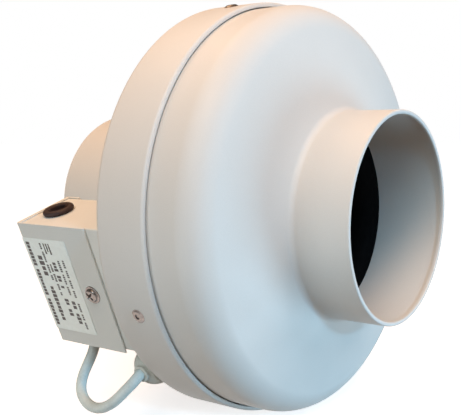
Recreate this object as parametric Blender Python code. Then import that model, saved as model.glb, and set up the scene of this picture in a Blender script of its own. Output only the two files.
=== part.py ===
"""Inline duct fan for 125 mm round duct: sheet steel casing, motor, impeller, terminal box and motor cable.

The fan axis lies along +Y, the way the air flows, with the origin on the axis halfway along the fan.
Pieces on the fan axis are drawn in a frame whose Z is the station along the axis from the inlet rim.
Pieces of the terminal box are drawn in a frame turned about the axis: X = -radius, Y = station, Z = up
the box.
"""

import math

import bmesh
import bpy
import numpy as np
from mathutils import Matrix, Vector

# Driving dimensions, in metres.
LENGTH = 0.223                  # rim to rim
SPIGOT_R = 0.0637               # outside of both duct spigots
SHEET = 0.0012                  # casing wall
RIM_THICK = 0.0026              # rolled edge of a spigot, measured across
INLET_HALF_R = 0.1255           # cylinder of the inlet half
OUTLET_HALF_R = 0.1288          # cylinder of the outlet half, which overlaps it
FACE_STATION = 0.0465           # front face of the inlet half
SEAM_STATION = 0.0818           # rolled front edge of the outlet half
REAR_STATION = 0.1174           # flat rear face of the outlet half
RIVET_STATION = 0.0962
RIVET_ANGLES = (-111.0, -16.5, 69.5, 163.5)    # from straight up towards +X
GAP = 0.0003                    # between pieces that touch
CASING_STEPS = 44               # sides of the casing's circles
ROUND_STEPS = 32                # and of the smaller round pieces'

# Casing details.
SHOULDER_R = 0.017
SHOULDER_BLEND_R = 0.020
SHOULDER_BREAK = 55.0           # degrees of the tighter arc
FACE_SLOPE = 13.0               # degrees; the face is a shallow cone
SLEEVE_END = 0.0485             # the spigot goes on inside the casing as far as the nozzle
SPIGOT_FILLET = 0.004
REAR_EDGE_R = 0.004
ROLL_THICK = 0.0027             # outlet half's rolled front edge, measured radially
SKIRT_END = 0.1040              # inlet half's cylinder ends here, inside the outlet half

# Motor and impeller, as radii and stations.
SHAFT_R = 0.0037
BEARING_BORE_R = 0.0040
BEARING_R = 0.0110
BEARING_WIDTH = 0.0070
BEARING_STATIONS = (0.0700, 0.0910)
HUB_BORE_R = 0.0113
HUB_R = 0.0135
HUB_FRONT = 0.0695
CORE_FRONT, CORE_REAR = 0.0740, 0.0900
STATOR_R = 0.0345
SLOT_COUNT = 12
ROTOR_CORE_R = (0.0350, 0.0425)
ROTOR_CAN_R = 0.0440
CAN_WALL = 0.0012
CAN_FRONT, CAN_REAR = 0.0655, 0.0970
CAN_FLANGE_R = 0.0520
FLANGE_STATION = 0.0990
FLANGE_R = 0.0410
BRACKET_STATION = 0.1021
BRACKET_THICK = 0.0020
MOTOR_SCREW_ANGLES = (-63.5, 26.5, 116.5, 206.5)
MOTOR_SCREW_CIRCLE_R = 0.0300
IMPELLER_SCREW_CIRCLE_R = 0.0483
ARM_WIDTH = 0.0240
FOOT_R = 0.1233
FOOT_FRONT = 0.0900
IMPELLER_R = 0.0950
BLADE_COUNT = 9
BLADE_THICK = 0.0020
BACKPLATE_STATION = 0.0905
EYE_R = 0.0552
THROAT_R = 0.0520

# Terminal box, in its own frame.
BOX_TURN = -19.0                # degrees about the fan axis
BOX_FACE = 0.1197               # radius of the label face
BOX_BACK = 0.0806
BOX_HALF = 0.0402
BOX_END = 0.1865                # station of the cover's end plate
COVER_START = 0.1293
PLATE = 0.0010                  # sheet of the box
TRAY_LOW, TRAY_HIGH = -0.0386, 0.0398
GROMMET_X, GROMMET_STATION = -0.1014, 0.1697
EARTH_X, EARTH_Z = -0.1085, -0.0300
BOX_RIVETS = ((-0.0960, -0.0320), (-0.0960, 0.0340))     # X and Z in the box frame
GROMMET_HOLE_R, GROMMET_R, GROMMET_BORE_R = 0.0068, 0.0090, 0.0044
CABLE_GROMMET_HOLE_R, CABLE_GROMMET_R = 0.0065, 0.0082
CABLE_GROMMET_X, CABLE_GROMMET_STATION = -0.1040, 0.1719
COVER_SCREW_STATION, COVER_SCREW_Z = 0.1403, -0.0020
LABEL_LENGTH, LABEL_WIDTH, LABEL_THICK = 0.0620, 0.0372, 0.0002

# Motor cable: radius and the points of its route in the fan's frame, X and Z across, Y as station.
CABLE_R = 0.0033
CABLE_STEP = 0.0062
CABLE_ROUTE = (
    (-0.0905, 0.1716, -0.0565), (-0.0879, 0.1717, -0.0641), (-0.0853, 0.1722, -0.0718),
    (-0.0849, 0.1744, -0.0832), (-0.0867, 0.1785, -0.0939), (-0.0892, 0.1818, -0.1033),
    (-0.0922, 0.1805, -0.1103), (-0.0954, 0.1733, -0.1161), (-0.0982, 0.1610, -0.1175),
    (-0.1001, 0.1492, -0.1139), (-0.1009, 0.1391, -0.1076), (-0.1002, 0.1315, -0.1006),
    (-0.0976, 0.1264, -0.0946), (-0.0928, 0.1253, -0.0909), (-0.0863, 0.1241, -0.0884),
    (-0.0817, 0.1201, -0.0855), (-0.0785, 0.1147, -0.0818), (-0.0747, 0.1103, -0.0763),
    (-0.0695, 0.1076, -0.0687), (-0.0627, 0.1077, -0.0613), (-0.0547, 0.1087, -0.0528),
    (-0.0446, 0.1092, -0.0431), (-0.0340, 0.1092, -0.0329),
)
GLAND_CENTRE = (-0.0786, -0.0815)     # X and Z of its flange on the rear face
GLAND_HOLE = (-0.0795, -0.0828)
GLAND_FLANGE_R, GLAND_NECK_R = 0.0115, 0.0069
GLAND_BULB = (-0.0805, 0.1257, -0.0878)
GLAND_BULB_R = 0.0125
GLAND_TIP = (-0.0936, 0.1250, -0.0911)
GLAND_BORE_POINTS = slice(12, 19)     # the stretch of the cable's route that its bore follows

COLOURS = {
    "casing_paint": ((0.74, 0.72, 0.67), 0.45, 0.0),
    "box_paint": ((0.52, 0.53, 0.51), 0.45, 0.0),
    "black_plastic": ((0.02, 0.02, 0.02), 0.50, 0.0),
    "zinc": ((0.62, 0.62, 0.60), 0.35, 1.0),
    "dark_steel": ((0.16, 0.16, 0.16), 0.40, 1.0),
    "bearing_steel": ((0.55, 0.55, 0.56), 0.20, 1.0),
    "laminations": ((0.33, 0.34, 0.36), 0.45, 1.0),
    "copper": ((0.62, 0.28, 0.12), 0.35, 1.0),
    "cast_aluminium": ((0.60, 0.61, 0.62), 0.45, 1.0),
    "brown_rubber": ((0.06, 0.03, 0.03), 0.60, 0.0),
    "white_rubber": ((0.62, 0.64, 0.60), 0.55, 0.0),
    "cable_grey": ((0.55, 0.62, 0.60), 0.45, 0.0),
    "label_stock": ((0.62, 0.66, 0.64), 0.40, 0.0),
    "white_plastic": ((0.80, 0.80, 0.78), 0.40, 0.0),
    "wire_brown": ((0.20, 0.08, 0.03), 0.45, 0.0),
    "wire_blue": ((0.05, 0.16, 0.45), 0.45, 0.0),
    "wire_earth": ((0.30, 0.50, 0.08), 0.45, 0.0),
}


def clear_scene():
    for obj in list(bpy.data.objects):
        bpy.data.objects.remove(obj, do_unlink=True)


def material(slot):
    found = bpy.data.materials.get(slot)
    if found:
        return found
    colour, roughness, metallic = COLOURS[slot]
    made = bpy.data.materials.new(slot)
    made.use_nodes = True
    shader = made.node_tree.nodes["Principled BSDF"]
    shader.inputs["Base Color"].default_value = (*colour, 1.0)
    shader.inputs["Roughness"].default_value = roughness
    shader.inputs["Metallic"].default_value = metallic
    return made


def frame_empty(name, rotation):
    """A frame with its origin on the axis at the inlet rim."""
    empty = bpy.data.objects.new(name, None)
    bpy.context.scene.collection.objects.link(empty)
    empty.location = (0.0, -LENGTH / 2, 0.0)
    empty.rotation_euler = rotation
    return empty


def add_object(name, mesh, slot, parent, matrix=None):
    obj = bpy.data.objects.new(name, mesh)
    bpy.context.scene.collection.objects.link(obj)
    if slot:
        if not mesh.materials:
            mesh.materials.append(material(slot))
    else:
        obj.hide_render = True
        obj.display_type = "WIRE"
    obj.parent = parent
    if matrix is not None:
        obj.matrix_local = matrix
    return obj


def finish_mesh(name, bm, sharp_angle=35.0):
    """A closed mesh with its faces outward, shaded smooth between its sharp edges."""
    bmesh.ops.remove_doubles(bm, verts=bm.verts, dist=1e-7)
    bmesh.ops.recalc_face_normals(bm, faces=bm.faces)
    mesh = bpy.data.meshes.new(name)
    bm.to_mesh(mesh)
    bm.free()
    mesh.shade_smooth()
    mesh.set_sharp_from_angle(angle=math.radians(sharp_angle))
    return mesh


def arc(centre, radius, start, end, steps):
    """Points of an arc in the (radius, station) plane; angles in degrees from +radius towards +station."""
    angles = np.radians(np.linspace(start, end, steps + 1))
    return [(centre[0] + radius * math.cos(a), centre[1] + radius * math.sin(a)) for a in angles]


def lathe_mesh(name, outline, steps):
    """Turns a closed outline of (radius, height) about Z."""
    bm = bmesh.new()
    rings = []
    for k in range(steps):
        turn = 2 * math.pi * k / steps
        rings.append([bm.verts.new((r * math.cos(turn), r * math.sin(turn), h)) for r, h in outline])
    count = len(outline)
    for k in range(steps):
        here, there = rings[k], rings[(k + 1) % steps]
        for i in range(count):
            j = (i + 1) % count
            if outline[i][0] < 1e-9 and outline[j][0] < 1e-9:
                continue
            corners = [here[i], there[i], there[j], here[j]]
            if outline[i][0] < 1e-9:
                corners.pop(1)
            elif outline[j][0] < 1e-9:
                corners.pop(2)
            bm.faces.new(corners)
    return finish_mesh(name, bm)


def prism_mesh(name, outline, low, high, place=None):
    """Extrudes a closed 2-D outline from low to high. place gives a point's X, Y, Z from its u, v, w."""
    place = place or (lambda u, v, w: (u, v, w))
    bm = bmesh.new()
    bottom = [bm.verts.new(place(u, v, low)) for u, v in outline]
    top = [bm.verts.new(place(u, v, high)) for u, v in outline]
    bm.faces.new(bottom)
    bm.faces.new(top)
    for i in range(len(outline)):
        j = (i + 1) % len(outline)
        bm.faces.new((bottom[i], bottom[j], top[j], top[i]))
    return finish_mesh(name, bm)


def block_mesh(name, low, high):
    corners = [(low[0], low[1]), (high[0], low[1]), (high[0], high[1]), (low[0], high[1])]
    return prism_mesh(name, corners, low[2], high[2])


def pins_mesh(name, radius, low, high, matrices, sides=12):
    """One mesh of several straight pins along Z, each placed by its matrix."""
    bm = bmesh.new()
    for matrix in matrices:
        made = bmesh.ops.create_cone(
            bm, cap_ends=True, segments=sides, radius1=radius, radius2=radius, depth=high - low)
        shift = Matrix.Translation((0, 0, (high + low) / 2))
        bmesh.ops.transform(bm, matrix=matrix @ shift, verts=made["verts"])
    return finish_mesh(name, bm)


def boolean(obj, other, operation):
    """Joins another mesh to an object, or cuts it away."""
    modifier = obj.modifiers.new(f"{operation.lower()}_{other.name}", "BOOLEAN")
    modifier.operation = operation
    modifier.object = other


def cut(obj, mesh, parent, matrix=None):
    boolean(obj, add_object(f"cutter_{mesh.name}", mesh, None, parent, matrix), "DIFFERENCE")


def join(obj, mesh, parent, matrix=None):
    boolean(obj, add_object(f"joined_{mesh.name}", mesh, None, parent, matrix), "UNION")


def radial_place(angle, station):
    """A frame on the fan axis at a station, with its Z pointing outward at this clock angle."""
    turn = math.radians(angle)
    out = Vector((math.sin(turn), -math.cos(turn), 0.0))
    along = Vector((0.0, 0.0, 1.0))
    side = along.cross(out)
    return Matrix.Translation((0, 0, station)) @ Matrix((side, along, out)).transposed().to_4x4()


def axial_place(angle, radius, station=0.0):
    """A frame at this clock angle and radius, with its Z along the fan axis."""
    turn = math.radians(angle)
    return Matrix.Translation((radius * math.sin(turn), -radius * math.cos(turn), station))


def rolled_rim(outer, thick, station, sign, wall):
    """The rounded end of a sheet tube, from its outside round to its inside; sign is the way it faces."""
    corner = thick * 0.36
    deep = station - sign * corner
    return [
        *arc((outer - corner, deep), corner, 0, 90 * sign, 2),
        *arc((outer - thick + corner, deep), corner, 90 * sign, 180 * sign, 2),
        (outer - thick, station - sign * thick * 0.8),
        (outer - wall, station - sign * thick),
    ]


def inlet_half_outline():
    """Spigot with its rolled rim, conical face, shoulder and skirt; the spigot goes on inside as a sleeve."""
    shoulder_s = FACE_STATION + SHOULDER_R + 0.0011
    centre = (INLET_HALF_R - SHOULDER_R, shoulder_s)
    brk, end = math.radians(SHOULDER_BREAK), 90.0 - FACE_SLOPE
    shift = SHOULDER_BLEND_R - SHOULDER_R
    blend = (centre[0] - shift * math.cos(brk), centre[1] + shift * math.sin(brk))
    fillet_r = SPIGOT_R + SPIGOT_FILLET
    slope = math.radians(FACE_SLOPE)
    last = (blend[0] + SHOULDER_BLEND_R * math.sin(slope), blend[1] - SHOULDER_BLEND_R * math.cos(slope))
    fillet_s = last[1] - (last[0] - fillet_r) * math.tan(slope) - SPIGOT_FILLET / math.cos(slope)
    outer = arc((fillet_r, fillet_s), SPIGOT_FILLET, 180, 90 + FACE_SLOPE, 3)
    outer += arc(blend, SHOULDER_BLEND_R, -end, -SHOULDER_BREAK, 2)
    outer += arc(centre, SHOULDER_R, -SHOULDER_BREAK, 0, 4)[1:]
    outer.append((INLET_HALF_R, SKIRT_END))
    inner = [(INLET_HALF_R - SHEET, SKIRT_END)]
    inner += arc(centre, SHOULDER_R - SHEET, 0, -SHOULDER_BREAK, 4)
    inner += arc(blend, SHOULDER_BLEND_R - SHEET, -SHOULDER_BREAK, -end, 2)[1:]
    sleeve_s = fillet_s + (SPIGOT_FILLET + SHEET) / math.cos(slope)
    inner += [(SPIGOT_R + SHEET, sleeve_s), (SPIGOT_R, sleeve_s + SHEET)]
    inner += [(SPIGOT_R, SLEEVE_END), (SPIGOT_R - SHEET, SLEEVE_END)]
    rim = rolled_rim(SPIGOT_R, RIM_THICK, 0.0, -1, SHEET)
    return outer + inner + rim[::-1]


def outlet_half_outline():
    """Rolled front edge, cylinder, flat rear face, fillet and the long outlet spigot with its rolled rim."""
    edge = (OUTLET_HALF_R - REAR_EDGE_R, REAR_STATION - REAR_EDGE_R)
    root = (SPIGOT_R + SPIGOT_FILLET, REAR_STATION + SPIGOT_FILLET)
    outer = arc(edge, REAR_EDGE_R, 0, 90, 3)
    outer += arc(root, SPIGOT_FILLET, 270, 180, 3)
    outer += rolled_rim(SPIGOT_R, RIM_THICK, LENGTH, 1, SHEET)
    inner = arc(root, SPIGOT_FILLET + SHEET, 180, 270, 3)
    inner += arc(edge, REAR_EDGE_R - SHEET, 90, 0, 2)
    front = rolled_rim(OUTLET_HALF_R, ROLL_THICK, SEAM_STATION, -1, SHEET)
    return outer + inner + front[::-1]


def on_rear_face(spot):
    """A frame at this X and Z, with its Z along the fan axis."""
    return Matrix.Translation((spot[0], -spot[1], 0.0))


def in_box_frame(spots):
    """Places on the rear face, given by X and Z in the terminal box's frame, as the fan's frame has them."""
    turn = math.radians(BOX_TURN)
    places = []
    for x, z in spots:
        across = x * math.cos(turn) + z * math.sin(turn)
        up = z * math.cos(turn) - x * math.sin(turn)
        places.append(Matrix.Translation((across, -up, 0.0)))
    return places


def make_casing(fan):
    inlet = add_object("casing_inlet_half", lathe_mesh("inlet_half", inlet_half_outline(), CASING_STEPS),
                       "casing_paint", fan)
    outlet = add_object("casing_outlet_half", lathe_mesh("outlet_half", outlet_half_outline(), CASING_STEPS),
                        "casing_paint", fan)
    holes = [radial_place(angle, RIVET_STATION) for angle in RIVET_ANGLES]
    for obj in (inlet, outlet):
        cut(obj, pins_mesh(f"rivet_holes_{obj.name}", 0.0024, 0.118, 0.134, holes, 8), fan)
    gland_hole = pins_mesh("gland_hole", GLAND_NECK_R + GAP, 0.112, 0.121, [on_rear_face(GLAND_HOLE)], 16)
    cut(outlet, gland_hole, fan)
    cut(outlet, pins_mesh("box_rivet_holes", 0.0022, 0.112, 0.121, in_box_frame(BOX_RIVETS), 8), fan)
    earth = in_box_frame([(EARTH_X, EARTH_Z)])
    cut(outlet, pins_mesh("earth_screw_hole", 0.0018, 0.112, 0.121, earth, 8), fan)

    throat = 0.0150
    bell = arc((THROAT_R + throat, 0.0630), throat, 180, 237, 4)
    outline = [(THROAT_R, 0.0635), *bell[1:], (0.0605, 0.0488), (0.0780, 0.0488), (0.0780, 0.0503),
               (0.0615, 0.0503)]
    outline += arc((THROAT_R + throat, 0.0630), throat - 0.0015, 232, 180, 4)
    outline.append((THROAT_R + 0.0015, 0.0635))
    add_object("inlet_nozzle", lathe_mesh("inlet_nozzle", outline, ROUND_STEPS), "black_plastic", fan)


def rivet_mesh(name, grip, head_r=0.0035, shank_r=0.0019):
    """A blind rivet pointing along Z, its head's underside at zero and its closed tail below the grip."""
    outline = [(0.0, 0.0006), (0.0008, 0.0013), (head_r * 0.62, 0.0013), (head_r, 0.0005), (head_r, 0.0),
               (shank_r, 0.0), (shank_r, -grip), (shank_r + 0.0008, -grip - 0.0006),
               (shank_r + 0.0006, -grip - 0.0026), (0.0, -grip - 0.0030)]
    return lathe_mesh(name, outline, 12)


def make_rivets(fan):
    shared = rivet_mesh("casing_rivet", 0.0081, 0.0042)
    for k, angle in enumerate(RIVET_ANGLES, 1):
        place = radial_place(angle, RIVET_STATION) @ Matrix.Translation((0, 0, OUTLET_HALF_R + GAP))
        add_object(f"casing_rivet_{k}", shared, "zinc", fan, place)


def make_bracket(fan):
    """Four arms on a central plate; each ends in a foot bent forward along the casing wall."""
    top = BRACKET_STATION + BRACKET_THICK
    disc = [(0.0140, BRACKET_STATION), (FLANGE_R + 0.001, BRACKET_STATION), (FLANGE_R + 0.001, top),
            (0.0140, top)]
    bracket = add_object("motor_bracket", lathe_mesh("motor_bracket", disc, 28), "zinc", fan)
    arm = [(0.030, BRACKET_STATION), (FOOT_R - 0.0016, BRACKET_STATION), (FOOT_R - 0.0016, FOOT_FRONT),
           (FOOT_R, FOOT_FRONT), (FOOT_R, top), (0.030, top)]
    for k, angle in enumerate(RIVET_ANGLES, 1):
        mesh = prism_mesh(f"bracket_arm_{k}", arm, -ARM_WIDTH / 2, ARM_WIDTH / 2, lambda u, v, w: (w, v, u))
        join(bracket, mesh, fan, radial_place(angle, 0.0))
    holes = [radial_place(angle, RIVET_STATION) for angle in RIVET_ANGLES]
    cut(bracket, pins_mesh("foot_holes", 0.0024, 0.118, 0.127, holes, 8), fan)
    bolts = [axial_place(angle, MOTOR_SCREW_CIRCLE_R) for angle in MOTOR_SCREW_ANGLES]
    cut(bracket, pins_mesh("bracket_screw_holes", 0.0023, 0.098, 0.108, bolts, 8), fan)


def screw_mesh(name, head_r, head_h, shank_r, length, sides=12):
    """A pan-head screw along Z, its head's underside at zero, with a socket in its head."""
    outline = [(0.0, head_h * 0.45), (head_r * 0.36, head_h * 0.45), (head_r * 0.42, head_h),
               (head_r * 0.75, head_h), (head_r, head_h * 0.55), (head_r, 0.0), (shank_r, 0.0),
               (shank_r, -length + shank_r * 0.4), (shank_r * 0.6, -length), (0.0, -length)]
    return lathe_mesh(name, outline, sides)


def make_motor(fan, rotor):
    flange = [(HUB_BORE_R, HUB_FRONT), (HUB_R, HUB_FRONT), (HUB_R, FLANGE_STATION),
              (FLANGE_R, FLANGE_STATION), (FLANGE_R, BRACKET_STATION - GAP),
              (HUB_BORE_R, BRACKET_STATION - GAP)]
    body = add_object("motor_flange", lathe_mesh("motor_flange", flange, 28), "cast_aluminium", fan)
    bolts = [axial_place(angle, MOTOR_SCREW_CIRCLE_R) for angle in MOTOR_SCREW_ANGLES]
    cut(body, pins_mesh("flange_screw_holes", 0.0018, 0.096, 0.108, bolts, 8), fan)
    shared = screw_mesh("motor_screw", 0.0036, 0.0024, 0.0015, 0.0046)
    for k, angle in enumerate(MOTOR_SCREW_ANGLES, 1):
        place = axial_place(angle, MOTOR_SCREW_CIRCLE_R, BRACKET_STATION + BRACKET_THICK + GAP)
        add_object(f"motor_screw_{k}", shared, "zinc", fan, place)

    for k, (name, station) in enumerate(zip(("front", "rear"), BEARING_STATIONS)):
        end = station + BEARING_WIDTH
        outer = [(0.0092, station), (BEARING_R, station), (BEARING_R, end), (0.0092, end)]
        inner = [(BEARING_BORE_R, station), (0.0062, station), (0.0062, end), (BEARING_BORE_R, end)]
        for ring, outline, parent in (("outer", outer, fan), ("inner", inner, rotor)):
            mesh = lathe_mesh(f"{ring}_{name}", outline, 20)
            add_object(f"bearing_{name}_{ring}_ring", mesh, "bearing_steel", parent)

    make_stator(fan)
    make_rotor(rotor)
    make_lead_boss(fan)


def stator_outline(inner_r, outer_r, slot_bottom, fraction):
    """A toothed disc: SLOT_COUNT teeth, each a fraction of its pitch wide, on a ring."""
    pitch = 2 * math.pi / SLOT_COUNT
    points = []
    for k in range(SLOT_COUNT):
        for radius, offset in ((slot_bottom, -fraction), (outer_r, -fraction), (outer_r, 0.0),
                               (outer_r, fraction), (slot_bottom, fraction)):
            angle = (k + offset / 2) * pitch
            points.append((radius * math.cos(angle), radius * math.sin(angle)))
    return points


def make_stator(fan):
    core = add_object("stator_core", prism_mesh("stator_core", stator_outline(0, STATOR_R, 0.021, 0.50),
                                                CORE_FRONT, CORE_REAR), "laminations", fan)
    cut(core, pins_mesh("stator_bore", HUB_R + GAP, 0.06, 0.11, [Matrix()], 28), fan)
    ring = [(0.0222, CORE_REAR + GAP), (0.0335, CORE_REAR + GAP), (0.0335, 0.0958), (0.0318, 0.0975),
            (0.0240, 0.0975), (0.0222, 0.0958)]
    winding = add_object("stator_winding", lathe_mesh("stator_winding", ring, 24), "copper", fan)
    front = [(r, CORE_FRONT + CORE_REAR - h) for r, h in ring]
    front = [(r, max(h, 0.0692)) for r, h in front]
    join(winding, lathe_mesh("winding_front", front, 24), fan)
    bars = [Matrix.Rotation((k + 0.5) * 2 * math.pi / SLOT_COUNT, 4, "Z") @ Matrix.Translation((0.0282, 0, 0))
            for k in range(SLOT_COUNT)]
    join(winding, pins_mesh("winding_bars", 0.0026, 0.0715, 0.0935, bars, 6), fan)


def make_rotor(rotor):
    inner = ROTOR_CAN_R - CAN_WALL
    can = [(SHAFT_R + GAP, CAN_FRONT), (ROTOR_CAN_R - 0.003, CAN_FRONT), (ROTOR_CAN_R, CAN_FRONT + 0.003),
           (ROTOR_CAN_R, 0.0930), (CAN_FLANGE_R, 0.0930), (CAN_FLANGE_R, 0.0942), (ROTOR_CAN_R, 0.0942),
           (ROTOR_CAN_R, CAN_REAR), (inner, CAN_REAR), (inner, CAN_FRONT + 0.0035),
           (inner - 0.0023, CAN_FRONT + CAN_WALL), (0.0085, CAN_FRONT + CAN_WALL), (0.0085, 0.0690),
           (SHAFT_R + GAP, 0.0690)]
    shell = add_object("rotor_can", lathe_mesh("rotor_can", can, ROUND_STEPS), "dark_steel", rotor)
    places = [axial_place(45 + 90 * k, IMPELLER_SCREW_CIRCLE_R) for k in range(4)]
    cut(shell, pins_mesh("can_screw_holes", 0.0014, 0.09, 0.097, places, 8), rotor)
    core = [(ROTOR_CORE_R[0], CORE_FRONT), (ROTOR_CORE_R[1], CORE_FRONT), (ROTOR_CORE_R[1], CORE_REAR),
            (ROTOR_CORE_R[0], CORE_REAR)]
    add_object("rotor_core", lathe_mesh("rotor_core", core, ROUND_STEPS), "laminations", rotor)
    groove = SHAFT_R - 0.0006
    shaft = [(0.0, 0.0646), (0.0065, 0.0646), (0.0065, CAN_FRONT - GAP), (SHAFT_R, CAN_FRONT - GAP),
             (SHAFT_R, 0.0986), (groove, 0.0986), (groove, 0.1000), (SHAFT_R, 0.1000), (SHAFT_R, 0.1014),
             (0.0, 0.1014)]
    add_object("motor_shaft", lathe_mesh("motor_shaft", shaft, 16), "bearing_steel", rotor)
    ring = arc((0, 0), 0.0052, 25, 335, 14) + arc((0, 0), groove + GAP, 335, 25, 14)
    add_object("shaft_circlip", prism_mesh("shaft_circlip", ring, 0.0989, 0.0997), "dark_steel", rotor)
    make_impeller(rotor, places)


def blade_outline():
    """A backward-curved blade seen along the axis: an arc from the eye to the tip, one thickness wide."""
    start, end, lean = 0.0600, 0.0935, 48.0
    middle = []
    for k in range(7):
        share = k / 6
        radius = start + (end - start) * share
        angle = math.radians(-lean * share ** 1.15)
        middle.append(Vector((radius * math.cos(angle), radius * math.sin(angle))))
    left, right = [], []
    for k, point in enumerate(middle):
        along = middle[min(k + 1, 6)] - middle[max(k - 1, 0)]
        side = Vector((-along.y, along.x)).normalized() * BLADE_THICK / 2
        left.append(tuple(point + side))
        right.append(tuple(point - side))
    return left + right[::-1]


def make_impeller(rotor, screw_places):
    plate = [(ROTOR_CAN_R + GAP, BACKPLATE_STATION), (IMPELLER_R, BACKPLATE_STATION), (IMPELLER_R, 0.0925),
             (ROTOR_CAN_R + GAP, 0.0925)]
    disc = lathe_mesh("impeller_backplate", plate, ROUND_STEPS)
    impeller = add_object("impeller_backplate", disc, "black_plastic", rotor)
    bm = bmesh.new()
    for k in range(BLADE_COUNT):
        turn = Matrix.Rotation(2 * math.pi * k / BLADE_COUNT, 3, "Z")
        feet, tips = [], []
        for u, v in blade_outline():
            top = 0.0665 + (math.hypot(u, v) - 0.060) * 0.16
            feet.append(bm.verts.new(turn @ Vector((u, v, BACKPLATE_STATION + 0.0006))))
            tips.append(bm.verts.new(turn @ Vector((u, v, top))))
        count = len(feet)
        bm.faces.new(feet)
        bm.faces.new(tips)
        for i in range(count):
            j = (i + 1) % count
            bm.faces.new((feet[i], feet[j], tips[j], tips[i]))
    join(impeller, finish_mesh("impeller_blades", bm), rotor)
    cut(impeller, pins_mesh("impeller_screw_holes", 0.0017, 0.086, 0.096, screw_places, 8), rotor)
    shared = screw_mesh("impeller_screw", 0.0028, 0.0018, 0.0011, 0.0050, 10)
    for k in range(4):
        seat = axial_place(45 + 90 * k, IMPELLER_SCREW_CIRCLE_R, BACKPLATE_STATION - GAP)
        flipped = seat @ Matrix.Rotation(math.pi, 4, "X")
        add_object(f"impeller_screw_{k + 1}", shared, "zinc", rotor, flipped)
    shroud = [(EYE_R, 0.0615), (EYE_R + 0.0015, 0.0615), (0.0600, 0.0640), (IMPELLER_R, 0.0696),
              (IMPELLER_R, 0.0714), (0.0592, 0.0658), (EYE_R, 0.0640)]
    add_object("impeller_shroud", lathe_mesh("impeller_shroud", shroud, ROUND_STEPS), "black_plastic", rotor)


def make_lead_boss(fan):
    """The moulded block on the bracket where the cable goes into the motor."""
    place = radial_place(-134.0, 0.1092)
    mesh = block_mesh("motor_lead_boss", (-0.0075, -0.0048, 0.0320), (0.0075, 0.0050, 0.0480))
    boss = add_object("motor_lead_boss", mesh, "black_plastic", fan, place)
    cut(boss, pins_mesh("lead_bore", CABLE_R + 0.0005, 0.038, 0.060, [Matrix()], 12), fan, place)


def make_box(box):
    back, front = -(BOX_BACK + 0.0013), -(BOX_FACE - PLATE - GAP)
    rear, end = REAR_STATION + GAP, BOX_END - PLATE - 0.0005
    outside = block_mesh("tray", (front, rear, TRAY_LOW), (back, end, TRAY_HIGH))
    tray = add_object("terminal_box_tray", outside, "box_paint", box)
    hollow_low = (front + PLATE, rear + PLATE, TRAY_LOW + PLATE)
    hollow_high = (back - PLATE, end + 0.01, TRAY_HIGH - PLATE)
    cut(tray, block_mesh("tray_hollow", hollow_low, hollow_high), box)
    lip_end = COVER_SCREW_STATION + 0.007
    cut(tray, block_mesh("tray_mouth", (front - 0.01, lip_end, TRAY_LOW + PLATE),
                         (front + 0.01, end + 0.01, TRAY_HIGH - PLATE)), box)
    grommets = [Matrix.Translation((GROMMET_X, GROMMET_STATION, 0)),
                Matrix.Translation((CABLE_GROMMET_X, CABLE_GROMMET_STATION, 0))]
    cut(tray, pins_mesh("top_grommet_hole", GROMMET_HOLE_R, 0.03, 0.05, grommets[:1], 20), box)
    cut(tray, pins_mesh("bottom_grommet_hole", CABLE_GROMMET_HOLE_R, -0.05, -0.03, grommets[1:], 16), box)
    turned = Matrix.Rotation(math.radians(90), 4, "Y")
    screw_place = Matrix.Translation((-BOX_FACE, COVER_SCREW_STATION, COVER_SCREW_Z)) @ turned.inverted()
    cut(tray, pins_mesh("tray_screw_hole", 0.0021, -0.006, 0.004, [screw_place], 8), box)
    rivets = [Matrix.Translation((x, 0, z)) @ Matrix.Rotation(-math.pi / 2, 4, "X") for x, z in BOX_RIVETS]
    cut(tray, pins_mesh("tray_rivet_holes", 0.0022, 0.112, 0.122, rivets, 8), box)
    earth = Matrix.Translation((EARTH_X, 0, EARTH_Z)) @ Matrix.Rotation(-math.pi / 2, 4, "X")
    cut(tray, pins_mesh("tray_earth_hole", 0.0018, 0.112, 0.122, [earth], 8), box)
    shared = rivet_mesh("box_rivet", 0.0031)
    for k, place in enumerate(rivets, 1):
        lift = Matrix.Translation((0, 0, rear + PLATE + GAP))
        add_object(f"box_rivet_{k}", shared, "zinc", box, place @ lift)

    hook = -(BOX_BACK + PLATE)
    outline = [(-BOX_FACE, COVER_START), (-BOX_FACE, BOX_END), (-BOX_BACK, BOX_END),
               (-BOX_BACK, BOX_END - 0.012), (hook, BOX_END - 0.012), (hook, BOX_END - PLATE),
               (-BOX_FACE + PLATE, BOX_END - PLATE), (-BOX_FACE + PLATE, COVER_START)]
    folded = prism_mesh("cover", outline, -BOX_HALF, BOX_HALF)
    cover = add_object("terminal_box_cover", folded, "box_paint", box)
    cut(cover, pins_mesh("cover_screw_hole", 0.0025, -0.004, 0.003, [screw_place], 8), box)
    head = screw_place @ Matrix.Translation((0, 0, GAP))
    screw = screw_mesh("cover_screw", 0.0053, 0.0026, 0.0018, 0.0080, 16)
    add_object("cover_screw", screw, "zinc", box, head)

    low = (-BOX_FACE - GAP - LABEL_THICK, BOX_END - LABEL_WIDTH, -LABEL_LENGTH / 2)
    high = (-BOX_FACE - GAP, BOX_END, LABEL_LENGTH / 2)
    add_object("rating_label", block_mesh("rating_label", low, high), "label_stock", box)
    make_grommets(box, grommets)
    make_box_contents(box)


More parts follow.
